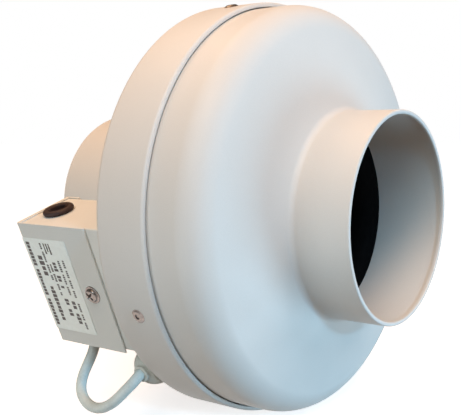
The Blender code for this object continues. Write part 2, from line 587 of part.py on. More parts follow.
def grommet_mesh(name, hole_r, flange_r, bore_r, wall):
    """A rubber ring in a sheet hole: a round bead outside, a waist through it and a thin bead inside."""
    waist = hole_r - GAP
    out, inn = GAP, -wall - GAP
    bead = (flange_r - waist + 0.0012) / 2
    middle = (flange_r - bead, out + 0.0019)
    outline = [(bore_r, out + 0.0030), *[(middle[0] + bead * math.cos(a), middle[1] + 0.0019 * math.sin(a))
                                         for a in np.radians(np.linspace(125, -90, 7))]]
    outline += [(waist, out), (waist, inn), (flange_r - 0.0012, inn), (flange_r - 0.0018, inn - 0.0016),
                (bore_r, inn - 0.0016)]
    return lathe_mesh(name, outline, 16)


def make_grommets(box, places):
    top = places[0] @ Matrix.Translation((0, 0, TRAY_HIGH))
    mesh = grommet_mesh("supply_grommet", GROMMET_HOLE_R, GROMMET_R, GROMMET_BORE_R, PLATE)
    add_object("supply_grommet", mesh, "brown_rubber", box, top)
    flip = Matrix.Rotation(math.pi, 4, "X")
    bottom = places[1] @ Matrix.Translation((0, 0, TRAY_LOW)) @ flip
    mesh = grommet_mesh("cable_grommet", CABLE_GROMMET_HOLE_R, CABLE_GROMMET_R, CABLE_R + 0.0008, PLATE)
    add_object("cable_grommet", mesh, "brown_rubber", box, bottom)


def make_box_contents(box):
    floor = REAR_STATION + GAP + PLATE + GAP
    centre = Matrix.Translation((-0.1003, floor + 0.0142, 0.0))
    cap = [(0.0, -0.0175), (0.0118, -0.0175), (0.0125, -0.0168), (0.0125, 0.0250), (0.0118, 0.0257),
           (0.0075, 0.0257), (0.0075, 0.0280), (0.0, 0.0280)]
    add_object("capacitor", lathe_mesh("capacitor", cap, 24), "white_plastic", box, centre)
    strap = [(0.0128, 0.0), *arc((0, 0), 0.0128, 0, 180, 8)[1:], (-0.0128, -0.0131), (-0.0160, -0.0131),
             (-0.0160, -0.0121), (-0.0138, -0.0121), *arc((0, 0), 0.0138, 180, 0, 8), (0.0138, -0.0121),
             (0.0160, -0.0121), (0.0160, -0.0131), (0.0128, -0.0131)]
    clip = prism_mesh("capacitor_clip", strap, 0.0050, 0.0130)
    add_object("capacitor_clip", clip, "zinc", box, centre)

    wall = -(BOX_BACK + 0.0013 + PLATE + GAP)
    block = block_mesh("terminal_block", (wall - 0.0140, 0.1520, -0.0200), (wall, 0.1680, 0.0200))
    body = add_object("terminal_block", block, "white_plastic", box)
    turned = Matrix.Rotation(math.radians(-90), 4, "Y")
    screws = [Matrix.Translation((wall - 0.0140, 0.1600, z)) @ turned for z in (-0.015, -0.005, 0.005, 0.015)]
    cut(body, pins_mesh("terminal_wells", 0.0029, -0.0085, 0.004, screws, 8), box)
    entries = [Matrix.Translation((wall - 0.0085, 0.1600, z)) @ Matrix.Rotation(-math.pi / 2, 4, "X")
               for z in (-0.015, -0.005, 0.005, 0.015)]
    cut(body, pins_mesh("terminal_entries", 0.0018, 0.0045, 0.012, entries, 8), box)
    shared = screw_mesh("terminal_screw", 0.0025, 0.0020, 0.0016, 0.0040, 10)
    for k, place in enumerate(screws, 1):
        add_object(f"terminal_screw_{k}", shared, "zinc", box, place @ Matrix.Translation((0, 0, -0.0042)))

    earth = Matrix.Translation((EARTH_X, floor, EARTH_Z)) @ Matrix.Rotation(-math.pi / 2, 4, "X")
    mesh = screw_mesh("earth_screw", 0.0034, 0.0024, 0.0015, 0.0035, 12)
    add_object("earth_screw", mesh, "zinc", box, earth)
    make_wires(box, wall)


def smooth_route(points, step):
    """Even points along a natural cubic spline through the given points."""
    points = np.array(points, float)
    chord = np.r_[0.0, np.cumsum(np.linalg.norm(np.diff(points, axis=0), axis=1))]
    gaps = np.diff(chord)
    count = len(points)
    system, right = np.eye(count), np.zeros((count, 3))
    for i in range(1, count - 1):
        system[i, i - 1:i + 2] = gaps[i - 1], 2 * (gaps[i - 1] + gaps[i]), gaps[i]
        right[i] = 6 * ((points[i + 1] - points[i]) / gaps[i] - (points[i] - points[i - 1]) / gaps[i - 1])
    bend = np.linalg.solve(system, right)
    made = []
    for at in np.linspace(0.0, chord[-1], max(2, round(chord[-1] / step)) + 1):
        i = min(int(np.searchsorted(chord, at, "right")) - 1, count - 2)
        before, after, gap = at - chord[i], chord[i + 1] - at, gaps[i]
        made.append((bend[i] * after ** 3 + bend[i + 1] * before ** 3) / (6 * gap)
                    + (points[i] / gap - bend[i] * gap / 6) * after
                    + (points[i + 1] / gap - bend[i + 1] * gap / 6) * before)
    return made


def tube(name, points, radius, slot, parent, resolution=2):
    """A closed tube along the points, as a bevelled poly curve."""
    curve = bpy.data.curves.new(name, "CURVE")
    curve.dimensions = "3D"
    curve.bevel_depth = radius
    curve.bevel_resolution = resolution
    curve.use_fill_caps = True
    spline = curve.splines.new("POLY")
    spline.points.add(len(points) - 1)
    for target, point in zip(spline.points, points):
        target.co = (*point, 1.0)
    spline.use_smooth = True
    curve.materials.append(material(slot))
    obj = bpy.data.objects.new(name, curve)
    bpy.context.scene.collection.objects.link(obj)
    obj.parent = parent
    return obj


def make_wires(box, wall):
    """The cable's three cores, from its stripped end to the terminals and the earth screw."""
    entry = wall - 0.0085
    routes = {
        "wire_brown": [(-0.1026, 0.1724, -0.0233), (-0.1024, 0.1726, -0.0212), (-0.0990, 0.1729, -0.0172),
                       (-0.0945, 0.1722, -0.0153), (entry, 0.1700, -0.0150), (entry, 0.1665, -0.0150)],
        "wire_blue": [(-0.1054, 0.1724, -0.0233), (-0.1055, 0.1726, -0.0205), (-0.1042, 0.1730, -0.0130),
                      (-0.0980, 0.1730, -0.0066), (entry, 0.1706, -0.0050), (entry, 0.1665, -0.0050)],
        "wire_earth": [(-0.1040, 0.1699, -0.0233), (-0.1046, 0.1690, -0.0212), (-0.1094, 0.1600, -0.0235),
                       (-0.1094, 0.1420, -0.0282), (-0.1086, 0.1262, -0.0300)],
    }
    for name, route in routes.items():
        tube(name, smooth_route(route, 0.0030), 0.0010, name, box)


def make_gland(fan):
    """A rubber elbow gland: a neck through the rear face, a flange on it and a bulb with a collar."""
    base = REAR_STATION + GAP
    bulb = Vector((GLAND_BULB[0], -GLAND_BULB[2], GLAND_BULB[1]))
    tip = Vector((GLAND_TIP[0], -GLAND_TIP[2], GLAND_TIP[1]))
    reach = (tip - bulb).length
    aim = Matrix.Translation(bulb) @ (tip - bulb).to_track_quat("Z", "Y").to_matrix().to_4x4()
    outline = arc((0.0, 0.0), GLAND_BULB_R, -90, 62, 9)
    outline += [(0.0051, GLAND_BULB_R * 0.93), (0.0047, reach - 0.0005), (0.0044, reach), (0.0, reach)]
    outline[0] = (0.0, -GLAND_BULB_R)
    gland = add_object("cable_gland", lathe_mesh("cable_gland", outline, 20), "white_rubber", fan, aim)
    seat = on_rear_face(GLAND_CENTRE) @ Matrix.Translation((0, 0, base))
    cut(gland, block_mesh("gland_seat", (-0.03, -0.03, -0.03), (0.03, 0.03, 0.0)), fan, seat)
    flange = [(0.0, 0.0), (GLAND_FLANGE_R, 0.0), (GLAND_FLANGE_R, 0.0014), (GLAND_FLANGE_R - 0.0010, 0.0022),
              (0.0094, 0.0026), (0.0088, 0.0060), (0.0, 0.0060)]
    join(gland, lathe_mesh("gland_flange", flange, 24), fan, seat)
    neck = pins_mesh("gland_neck", GLAND_NECK_R, base - 0.0022, base + 0.002, [on_rear_face(GLAND_HOLE)], 16)
    join(gland, neck, fan)
    bore = bpy.data.meshes.new_from_object(cable_curve(CABLE_R + 0.0005, GLAND_BORE_POINTS))
    cut(gland, bore, None)


def cable_curve(radius, stretch):
    """A plain tube along part of the cable's route, as the shape of the hole that the cable needs."""
    route = [Vector(p) - Vector((0, LENGTH / 2, 0)) for p in smooth_route(CABLE_ROUTE[stretch], 0.004)]
    guide = tube("gland_bore", [tuple(p) for p in route], radius, "white_rubber", None)
    guide.hide_render = True
    guide.display_type = "WIRE"
    return guide


def make_cable():
    route = [Vector(p) - Vector((0, LENGTH / 2, 0)) for p in smooth_route(CABLE_ROUTE, CABLE_STEP)]
    tube("motor_cable", [tuple(p) for p in route], CABLE_R, "cable_grey", None)


def main():
    clear_scene()
    along_y = (-math.pi / 2, 0.0, 0.0)
    fan = frame_empty("fan_axis", along_y)
    rotor = frame_empty("rotor_axis", along_y)
    box = frame_empty("terminal_box_frame", (0.0, math.radians(BOX_TURN), 0.0))
    make_casing(fan)
    make_rivets(fan)
    make_bracket(fan)
    make_motor(fan, rotor)
    make_box(box)
    make_gland(fan)
    make_cable()


main()
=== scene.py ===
"""Looks of the inline duct fan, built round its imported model: casing, impeller, motor, box and cable.

Turned pieces are drawn in the fan's frame, whose Z is the station along the axis from the inlet rim.
Pieces of the terminal box are drawn in a frame turned about the axis: X = -radius, Y = station, Z up it.
"""

import math
import random

import bmesh
import bpy
import numpy as np
from mathutils import Matrix, Vector


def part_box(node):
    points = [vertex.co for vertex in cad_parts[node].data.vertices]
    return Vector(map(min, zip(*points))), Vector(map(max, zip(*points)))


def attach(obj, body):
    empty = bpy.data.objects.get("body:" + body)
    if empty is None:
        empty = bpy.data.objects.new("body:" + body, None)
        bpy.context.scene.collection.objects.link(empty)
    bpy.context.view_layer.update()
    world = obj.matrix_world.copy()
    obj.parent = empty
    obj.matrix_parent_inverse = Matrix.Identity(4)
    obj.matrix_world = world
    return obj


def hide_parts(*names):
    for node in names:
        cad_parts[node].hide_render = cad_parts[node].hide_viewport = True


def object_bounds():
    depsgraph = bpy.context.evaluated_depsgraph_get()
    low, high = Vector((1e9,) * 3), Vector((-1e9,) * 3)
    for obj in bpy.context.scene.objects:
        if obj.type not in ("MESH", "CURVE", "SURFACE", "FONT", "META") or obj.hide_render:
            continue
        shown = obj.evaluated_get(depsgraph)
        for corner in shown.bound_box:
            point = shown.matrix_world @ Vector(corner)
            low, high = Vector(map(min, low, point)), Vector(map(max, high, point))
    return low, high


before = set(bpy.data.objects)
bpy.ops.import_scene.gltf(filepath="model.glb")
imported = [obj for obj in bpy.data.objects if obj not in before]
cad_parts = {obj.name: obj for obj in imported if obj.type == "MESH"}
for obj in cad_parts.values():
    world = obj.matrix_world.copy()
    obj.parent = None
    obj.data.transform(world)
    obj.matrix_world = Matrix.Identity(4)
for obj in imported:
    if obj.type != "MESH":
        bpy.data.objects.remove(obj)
CAD_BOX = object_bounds()

# Sizes read from the frame, in metres.
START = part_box("casing_inlet_half")[0].y
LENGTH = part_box("casing_outlet_half")[1].y - START
SKIRT_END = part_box("casing_inlet_half")[1].y - START
SEAM_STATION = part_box("casing_outlet_half")[0].y - START
INLET_HALF_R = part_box("casing_inlet_half")[1].z
OUTLET_HALF_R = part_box("casing_outlet_half")[1].z
IMPELLER_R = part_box("impeller_shroud")[1].x
CAN_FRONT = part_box("rotor_can")[0].y - START
BACKPLATE_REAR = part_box("impeller_backplate")[1].y - START
BRACKET_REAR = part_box("motor_bracket")[1].y - START

# Casing, as radii and stations.
SPIGOT_R = 0.0637
SHEET = 0.0012
RIM_THICK = 0.0026
FACE_STATION = 0.0465
REAR_STATION = 0.1174
SHOULDER_R = 0.017
SHOULDER_BLEND_R = 0.020
SHOULDER_BREAK = 55.0
FACE_SLOPE = 13.0
SLEEVE_END = 0.0485
SPIGOT_FILLET = 0.004
REAR_EDGE_R = 0.004
ROLL_THICK = 0.0027
RIVET_STATION = 0.0962
RIVET_HOLE_R = 0.0024
RIVET_ANGLES = (-111.0, -16.5, 69.5, 163.5)
GAP = 0.0003
CASING_STEPS = 288
ROTOR_STEPS = 160
ROUND_STEPS = 96
SMALL_STEPS = 40

# Motor and impeller.
SHAFT_R = 0.0037
BEARING_STATIONS = {"front": 0.0700, "rear": 0.0910}
BEARING_WIDTH = 0.0070
ROTOR_CAN_R = 0.0440
BRACKET_THICK = 0.0020
BRACKET_STATION = BRACKET_REAR - BRACKET_THICK
BRACKET_R = 0.0420
BRACKET_HOLE_R = 0.0140
ARM_HALF = 0.0120
FOOT_INNER_R, FOOT_R = 0.1217, 0.1233
FOOT_FRONT = 0.0900
BACKPLATE_STATION = 0.0905
BLADE_COUNT = 9
BLADE_START, BLADE_END = 0.0600, 0.0935
BLADE_LEAN = 48.0
BLADE_THICK = 0.0020
THROAT_R = 0.0520
MOTOR_SCREW_ANGLES = (-63.5, 26.5, 116.5, 206.5)
MOTOR_SCREW_R = 0.0300
IMPELLER_SCREW_R = 0.0483

# Terminal box, in its own frame.
BOX_TURN = -19.0
BOX_FACE, BOX_BACK = 0.1197, 0.0806
BOX_HALF = 0.0402
BOX_END = 0.1865
COVER_START = 0.1293
PLATE = 0.0010
RETURN = 0.0028
TRAY_LOW, TRAY_HIGH = -0.0386, 0.0398
GROMMET_PLACE = (-0.1014, 0.1697)
CABLE_GROMMET_PLACE = (-0.1040, 0.1719)
GROMMET_HOLE_R, GROMMET_R, GROMMET_BORE_R = 0.0068, 0.0090, 0.0044
CABLE_GROMMET_HOLE_R, CABLE_GROMMET_R = 0.0065, 0.0082
COVER_SCREW_STATION, COVER_SCREW_Z = 0.1403, -0.0020
LABEL_LENGTH, LABEL_WIDTH = 0.0620, 0.0372
LABEL_BASE = BOX_FACE + 0.0001
LABEL_TOP = LABEL_BASE + 0.0002

# Motor cable and the gland where it enters the casing: X, station, Z.
CABLE_R = 0.0033
CABLE_ROUTE = (
    (-0.0905, 0.1716, -0.0565), (-0.0879, 0.1717, -0.0641), (-0.0853, 0.1722, -0.0718),
    (-0.0849, 0.1744, -0.0832), (-0.0867, 0.1785, -0.0939), (-0.0892, 0.1818, -0.1033),
    (-0.0922, 0.1805, -0.1103), (-0.0954, 0.1733, -0.1161), (-0.0982, 0.1610, -0.1175),
    (-0.1001, 0.1492, -0.1139), (-0.1009, 0.1391, -0.1076), (-0.1002, 0.1315, -0.1006),
    (-0.0976, 0.1264, -0.0946), (-0.0928, 0.1253, -0.0909), (-0.0863, 0.1241, -0.0884),
    (-0.0817, 0.1201, -0.0855), (-0.0785, 0.1147, -0.0818), (-0.0747, 0.1103, -0.0763),
    (-0.0695, 0.1076, -0.0687), (-0.0627, 0.1077, -0.0613), (-0.0547, 0.1087, -0.0528),
    (-0.0446, 0.1092, -0.0431), (-0.0340, 0.1092, -0.0329),
)
GLAND_CENTRE = (-0.0786, -0.0815)
GLAND_HOLE_PLACE = Matrix.Translation((-0.0795, 0.0828, 0))
GLAND_FLANGE_R, GLAND_NECK_R = 0.0115, 0.0069
GLAND_BULB = (-0.0805, 0.1257, -0.0878)
GLAND_BULB_R = 0.0125
GLAND_TIP = (-0.0936, 0.1250, -0.0911)
GLAND_BORE_POINTS = slice(12, 19)

# Camera: place, view direction, focal length in millimetres and shift.
CAMERA_PLACE = (-0.3873, -0.2984, 0.0460)
CAMERA_VIEW = (0.8350, 0.5224, -0.1729)
CAMERA_LENS = 56.74
CAMERA_SHIFT = (-0.2010, 0.1313)

# Round soft boxes: where each one stands, its width, its power in watts and its colour.
# Warm light comes from above and cool light from the front.
LAMP_DISTANCE = 1.7
SOFT = 0.8
WARM = (1.0, 0.60, 0.34)
LIGHTS = (
    ("top_front", (0.0, -0.47, 0.88), SOFT, 9.3, WARM),
    ("top_left", (-0.41, -0.23, 0.88), SOFT, 12.3, WARM),
    ("top_back", (0.0, 0.47, 0.88), SOFT, 11.1, WARM),
    ("high_front", (0.14, -0.81, 0.57), SOFT, 5.6, (0.70, 0.84, 1.0)),
    ("high_left", (-0.74, -0.35, 0.57), SOFT, 10.2, (0.73, 0.92, 1.0)),
    ("front_spot", (-0.30, -0.92, 0.26), 0.14, 9.5, (0.30, 0.67, 1.0)),
    ("low_front", (0.48, -0.82, -0.31), SOFT, 17.4, (0.44, 0.77, 1.0)),
    ("low_back_left", (-0.89, 0.33, -0.31), SOFT, 7.8, (0.86, 0.97, 1.0)),
)
AIR_GLOW = 0.134

FAN = Matrix.Translation((0, START, 0)) @ Matrix.Rotation(-math.pi / 2, 4, "X")
BOX = Matrix.Translation((0, START, 0)) @ Matrix.Rotation(math.radians(BOX_TURN), 4, "Y")


# ---- meshes

def arc(centre, radius, start, end, steps):
    """Points of an arc in the (radius, station) plane; angles in degrees from +radius towards +station."""
    angles = np.radians(np.linspace(start, end, steps + 1))
    return [(centre[0] + radius * math.cos(a), centre[1] + radius * math.sin(a)) for a in angles]


def rounded(corners, radius, steps=4):
    """A closed outline with its corners rounded off; radius is one number, or one for each corner."""
    count = len(corners)
    radii = [radius] * count if isinstance(radius, float) else radius
    points = []
    for i, here in enumerate(corners):
        here = Vector(here)
        before = (Vector(corners[i - 1]) - here).normalized()
        after = (Vector(corners[(i + 1) % count]) - here).normalized()
        if radii[i] == 0:
            points.append(tuple(here))
            continue
        half = before.angle(after) / 2
        reach = radii[i] / math.tan(half)
        centre = here + (before + after).normalized() * radii[i] / math.sin(half)
        first, last = here + before * reach - centre, here + after * reach - centre
        for k in range(steps + 1):
            share = k / steps
            step = first.lerp(last, share).normalized() * radii[i]
            points.append(tuple(centre + step))
    return points


def finished(bm, sharp_angle=32.0):
    bmesh.ops.remove_doubles(bm, verts=bm.verts, dist=1e-7)
    bmesh.ops.recalc_face_normals(bm, faces=bm.faces)
    mesh = bpy.data.meshes.new("piece")
    bm.to_mesh(mesh)
    bm.free()
    return shaded(mesh, sharp_angle)


def shaded(mesh, sharp_angle=32.0):
    mesh.shade_smooth()
    mesh.set_sharp_from_angle(angle=math.radians(sharp_angle))
    return mesh


def moved(mesh, matrix):
    mesh.transform(matrix)
    return mesh


def lathe(outline, steps=ROUND_STEPS, sharp_angle=32.0):
    """Turns a closed outline of (radius, height) about Z."""
    bm = bmesh.new()
    rings = []
    for k in range(steps):
        turn = 2 * math.pi * k / steps
        rings.append([bm.verts.new((r * math.cos(turn), r * math.sin(turn), h)) for r, h in outline])
    count = len(outline)
    for k in range(steps):
        here, there = rings[k], rings[(k + 1) % steps]
        for i in range(count):
            j = (i + 1) % count
            if outline[i][0] < 1e-9 and outline[j][0] < 1e-9:
                continue
            corners = [here[i], there[i], there[j], here[j]]
            if outline[i][0] < 1e-9:
                corners.pop(1)
            elif outline[j][0] < 1e-9:
                corners.pop(2)
            bm.faces.new(corners)
    return finished(bm, sharp_angle)


def bridge(bm, one, other):
    """Faces all round between two closed rows of points."""
    for i in range(len(one)):
        j = (i + 1) % len(one)
        bm.faces.new((one[i], one[j], other[j], other[i]))


def prism(outline, low, high, place=None):
    """Extrudes a closed 2-D outline from low to high. place gives a point's X, Y, Z from its u, v, w."""
    place = place or (lambda u, v, w: (u, v, w))
    bm = bmesh.new()
    bottom = [bm.verts.new(place(u, v, low)) for u, v in outline]
    top = [bm.verts.new(place(u, v, high)) for u, v in outline]
    bm.faces.new(bottom)
    bm.faces.new(top)
    bridge(bm, bottom, top)
    return finished(bm)


def block(low, high):
    corners = [(low[0], low[1]), (high[0], low[1]), (high[0], high[1]), (low[0], high[1])]
    return prism(corners, low[2], high[2])


def pin(radius, low, high, matrix=None, steps=SMALL_STEPS):
    mesh = lathe([(0, low), (radius, low), (radius, high), (0, high)], steps)
    return moved(mesh, matrix or Matrix())


def evaluated(obj):
    bpy.context.view_layer.update()
    graph = bpy.context.evaluated_depsgraph_get()
    return bpy.data.meshes.new_from_object(obj.evaluated_get(graph))


def linked(name, data):
    obj = bpy.data.objects.new(name, data)
    bpy.context.scene.collection.objects.link(obj)
    return obj


def modified(mesh, modifiers):
    """The mesh as modifiers leave it; each is a type and its settings."""
    base = linked("base", mesh)
    for kind, settings in modifiers:
        modifier = base.modifiers.new(kind, kind)
        for name, value in settings.items():
            setattr(modifier, name, value)
    made = evaluated(base)
    bpy.data.objects.remove(base)
    return made


def combined(mesh, tools, operation="DIFFERENCE"):
    """The mesh with other meshes cut away from it, or joined to it."""
    helpers = [linked("tool", tool) for tool in tools]
    made = modified(mesh, [("BOOLEAN", {"operation": operation, "object": helper}) for helper in helpers])
    for helper in helpers:
        bpy.data.objects.remove(helper)
    return shaded(made)


def softened(mesh, width, segments=2, angle=38.0):
    """The mesh with its sharp edges rounded off."""
    return modified(mesh, [("BEVEL", {
        "width": width, "segments": segments, "limit_method": "ANGLE",
        "angle_limit": math.radians(angle), "harden_normals": True})])


def remeshed(mesh, voxel, smoothing):
    """The mesh as one moulded skin, its inner corners filled a little."""
    made = modified(mesh, [("REMESH", {"mode": "VOXEL", "voxel_size": voxel}),
                           ("SMOOTH", {"factor": 0.5, "iterations": smoothing})])
    made.shade_smooth()
    return made


def smooth_route(points, step):
    """Even points along a natural cubic spline through the given points."""
    points = np.array(points, float)
    chord = np.r_[0.0, np.cumsum(np.linalg.norm(np.diff(points, axis=0), axis=1))]
    gaps = np.diff(chord)
    count = len(points)
    system, right = np.eye(count), np.zeros_like(points)
    for i in range(1, count - 1):
        system[i, i - 1:i + 2] = gaps[i - 1], 2 * (gaps[i - 1] + gaps[i]), gaps[i]
        right[i] = 6 * ((points[i + 1] - points[i]) / gaps[i] - (points[i] - points[i - 1]) / gaps[i - 1])
    bend = np.linalg.solve(system, right)
    made = []
    for at in np.linspace(0.0, chord[-1], max(2, round(chord[-1] / step)) + 1):
        i = min(int(np.searchsorted(chord, at, "right")) - 1, count - 2)
        before, after, gap = at - chord[i], chord[i + 1] - at, gaps[i]
        made.append((bend[i] * after ** 3 + bend[i + 1] * before ** 3) / (6 * gap)
                    + (points[i] / gap - bend[i] * gap / 6) * after
                    + (points[i + 1] / gap - bend[i + 1] * gap / 6) * before)
    return made


def radial_place(angle, station=0.0):
    """A frame on the fan axis at a station, with its Z pointing outward at this clock angle."""
    turn = math.radians(angle)
    out = Vector((math.sin(turn), -math.cos(turn), 0.0))
    along = Vector((0.0, 0.0, 1.0))
    side = along.cross(out)
    return Matrix.Translation((0, 0, station)) @ Matrix((side, along, out)).transposed().to_4x4()


def axial_place(angle, radius, station=0.0):
    """A frame at this clock angle and radius, with its Z along the fan axis."""
    turn = math.radians(angle)
    return Matrix.Translation((radius * math.sin(turn), -radius * math.cos(turn), station))


# ---- materials

class Skin:
    """A Principled material and the few nodes that vary it."""

    def __init__(self, name, colour, roughness, metallic=0.0):
        self.material = bpy.data.materials.new(name)
        self.material.use_nodes = True
        self.tree = self.material.node_tree
        self.shader = self.tree.nodes["Principled BSDF"]
        self.set("Base Color", (*colour, 1.0))
        self.set("Roughness", roughness)
        self.set("Metallic", metallic)
        self.colour = colour
        self.coordinates = self.node("TexCoord").outputs["Object"]
        self.normal = None

    def set(self, socket, value):
        self.shader.inputs[socket].default_value = value

    def link(self, out, into):
        self.tree.links.new(out, into)

    def node(self, kind, **sockets):
        """A new node with these values in its sockets."""
        node = self.tree.nodes.new("ShaderNode" + kind)
        for socket, value in sockets.items():
            node.inputs[socket.replace("_", " ")].default_value = value
        return node

    def noise(self, scale, detail=2.0, stretch=(1.0, 1.0, 1.0)):
        """The value of a noise texture with this many cells in a metre."""
        mapping = self.node("Mapping", Scale=stretch)
        self.link(self.coordinates, mapping.inputs["Vector"])
        texture = self.node("TexNoise", Scale=scale, Detail=detail)
        self.link(mapping.outputs["Vector"], texture.inputs["Vector"])
        return texture.outputs["Fac"]

    def cells(self, scale):
        """The colour of a texture of plain cells."""
        texture = self.node("TexVoronoi", Scale=scale)
        self.link(self.coordinates, texture.inputs["Vector"])
        return texture.outputs["Color"]

    def wave(self, scale, distortion, **settings):
        """The value of a texture of bands or rings."""
        texture = self.node("TexWave", Scale=scale, Distortion=distortion)
        for name, value in settings.items():
            setattr(texture, name, value)
        self.link(self.coordinates, texture.inputs["Vector"])
        return texture.outputs["Fac"]

    def between(self, value, low, high, from_low=0.3, from_high=0.7):
        """Maps a texture's value onto a range."""
        node = self.node("MapRange", From_Min=from_low, From_Max=from_high, To_Min=low, To_Max=high)
        self.link(value, node.inputs["Value"])
        return node.outputs["Result"]

    def vary_colour(self, value, other, share=1.0):
        """Mixes the base colour towards another one."""
        mix = self.node("Mix")
        mix.data_type = "RGBA"
        source = self.shader.inputs["Base Color"]
        if source.is_linked:
            self.link(source.links[0].from_socket, mix.inputs[6])
        else:
            mix.inputs[6].default_value = source.default_value
        mix.inputs[7].default_value = (*other, 1.0)
        self.link(self.between(value, 0.0, share), mix.inputs[0])
        self.link(mix.outputs[2], source)

    def mottle(self, scale, detail, factor, share):
        """Patches of a lighter or darker tint of its own colour."""
        self.vary_colour(self.noise(scale, detail), tinted(self.colour, factor), share)

    def vary_roughness(self, scale, detail, low, high):
        self.link(self.between(self.noise(scale, detail), low, high), self.shader.inputs["Roughness"])

    def bump(self, value, height, strength=1.0):
        """Adds relief of this height, in metres, on top of what is there."""
        node = self.node("Bump", Strength=strength, Distance=height)
        self.link(value, node.inputs["Height"])
        if self.normal:
            self.link(self.normal, node.inputs["Normal"])
        self.normal = node.outputs["Normal"]
        self.link(self.normal, self.shader.inputs["Normal"])


def tinted(colour, factor):
    return tuple(min(1.0, part * factor) for part in colour)


def powder_coat(name, colour):
    """Baked powder paint on formed sheet: a fine orange peel over the metal's slow waves."""
    skin = Skin(name, colour, 0.52)
    skin.set("Specular IOR Level", 0.32)
    skin.mottle(26.0, 3.0, 0.965, 0.8)
    skin.mottle(1700.0, 1.0, 1.03, 0.6)
    skin.vary_roughness(55.0, 4.0, 0.46, 0.58)
    skin.bump(skin.noise(16.0, 1.0), 0.00035, 0.25)
    skin.bump(skin.noise(900.0, 2.0), 0.00005, 0.35)
    return skin.material


def moulded_plastic(name, colour, roughness=0.5, grain=1500.0, shine=0.2):
    skin = Skin(name, colour, roughness)
    skin.set("Specular IOR Level", shine)
    skin.mottle(90.0, 3.0, 1.35, 0.6)
    skin.vary_roughness(240.0, 4.0, roughness - 0.08, roughness + 0.10)
    skin.bump(skin.noise(grain, 2.0), 0.00006, 0.45)
    return skin.material


def matt_plastic(name, colour):
    """Plastic filled with glass fibre: it hardly shines."""
    return moulded_plastic(name, colour, 0.72, 900.0, 0.03)


def rubber(name, colour, roughness=0.62):
    """Moulded rubber: matt, with a bloom of paler dust in its colour and a slow unevenness."""
    skin = Skin(name, colour, roughness)
    skin.set("Specular IOR Level", 0.35)
    skin.mottle(160.0, 5.0, 1.6, 0.5)
    skin.mottle(700.0, 3.0, 0.7, 0.4)
    skin.vary_roughness(420.0, 4.0, roughness - 0.10, roughness + 0.12)
    skin.bump(skin.noise(260.0, 2.0), 0.00012, 0.35)
    skin.bump(skin.noise(2600.0, 2.0), 0.00003, 0.4)
    return skin.material


def plated_steel(name, colour, roughness=0.34):
    """Zinc plate: patches of slightly different grey, a fine grain and duller spots."""
    skin = Skin(name, colour, roughness, 1.0)
    skin.mottle(500.0, 4.0, 0.62, 0.7)
    skin.vary_colour(skin.cells(260.0), tinted(colour, 1.15), 0.35)
    skin.vary_roughness(900.0, 4.0, roughness - 0.10, roughness + 0.16)
    skin.bump(skin.noise(2200.0, 3.0), 0.00003, 0.5)
    return skin.material


def turned_metal(name, colour, roughness=0.3):
    """Machined or drawn metal with fine rings round the fan axis and a slow stain."""
    skin = Skin(name, colour, roughness, 1.0)
    skin.mottle(70.0, 5.0, 0.72, 0.8)
    skin.vary_roughness(1200.0, 3.0, roughness - 0.08, roughness + 0.16)
    skin.bump(skin.noise(3200.0, 2.0, (1.0, 1.0, 0.3)), 0.00003, 0.5)
    return skin.material


def sheet_stack(name, colour):
    """Edges of stamped steel sheets, half a millimetre each."""
    skin = Skin(name, colour, 0.42, 1.0)
    edges = skin.wave(320.0, 0.4, bands_direction="Y")
    skin.vary_colour(edges, tinted(colour, 0.5), 0.8)
    skin.vary_roughness(600.0, 4.0, 0.34, 0.55)
    skin.bump(edges, 0.00010, 0.6)
    return skin.material


def enamelled_copper(name, colour):
    """Wound wire under varnish."""
    skin = Skin(name, colour, 0.32, 1.0)
    skin.set("Coat Weight", 0.5)
    turns = skin.wave(420.0, 2.5, wave_type="RINGS", rings_direction="Y")
    skin.vary_colour(turns, tinted(colour, 0.55), 0.8)
    skin.bump(turns, 0.00015, 0.7)
    return skin.material


def cast_metal(name, colour):
    skin = Skin(name, colour, 0.46, 1.0)
    skin.mottle(240.0, 5.0, 0.75, 0.7)
    skin.vary_roughness(700.0, 4.0, 0.38, 0.62)
    skin.bump(skin.noise(1100.0, 4.0), 0.00010, 0.6)
    return skin.material


def cable_jacket(name, colour):
    """PVC jacket: satin, faintly mottled where it was handled, with slow dents from the cores inside."""
    skin = Skin(name, colour, 0.46)
    skin.mottle(110.0, 5.0, 0.80, 0.8)
    skin.mottle(900.0, 3.0, 1.12, 0.5)
    skin.vary_roughness(300.0, 4.0, 0.38, 0.56)
    skin.bump(skin.noise(130.0, 2.0), 0.00025, 0.4)
    skin.bump(skin.noise(2400.0, 2.0), 0.00003, 0.4)
    return skin.material


def label_stock(name, colour):
    """Plastic film: smooth, with a faint silvery mottle."""
    skin = Skin(name, colour, 0.34)
    skin.mottle(420.0, 5.0, 0.90, 0.7)
    skin.vary_roughness(220.0, 3.0, 0.28, 0.42)
    skin.bump(skin.noise(90.0, 2.0), 0.00008, 0.3)
    return skin.material


def printing_ink(name, colour):
    skin = Skin(name, colour, 0.5)
    skin.mottle(1600.0, 4.0, 3.0, 0.6)
    skin.vary_roughness(1600.0, 4.0, 0.42, 0.62)
    return skin.material


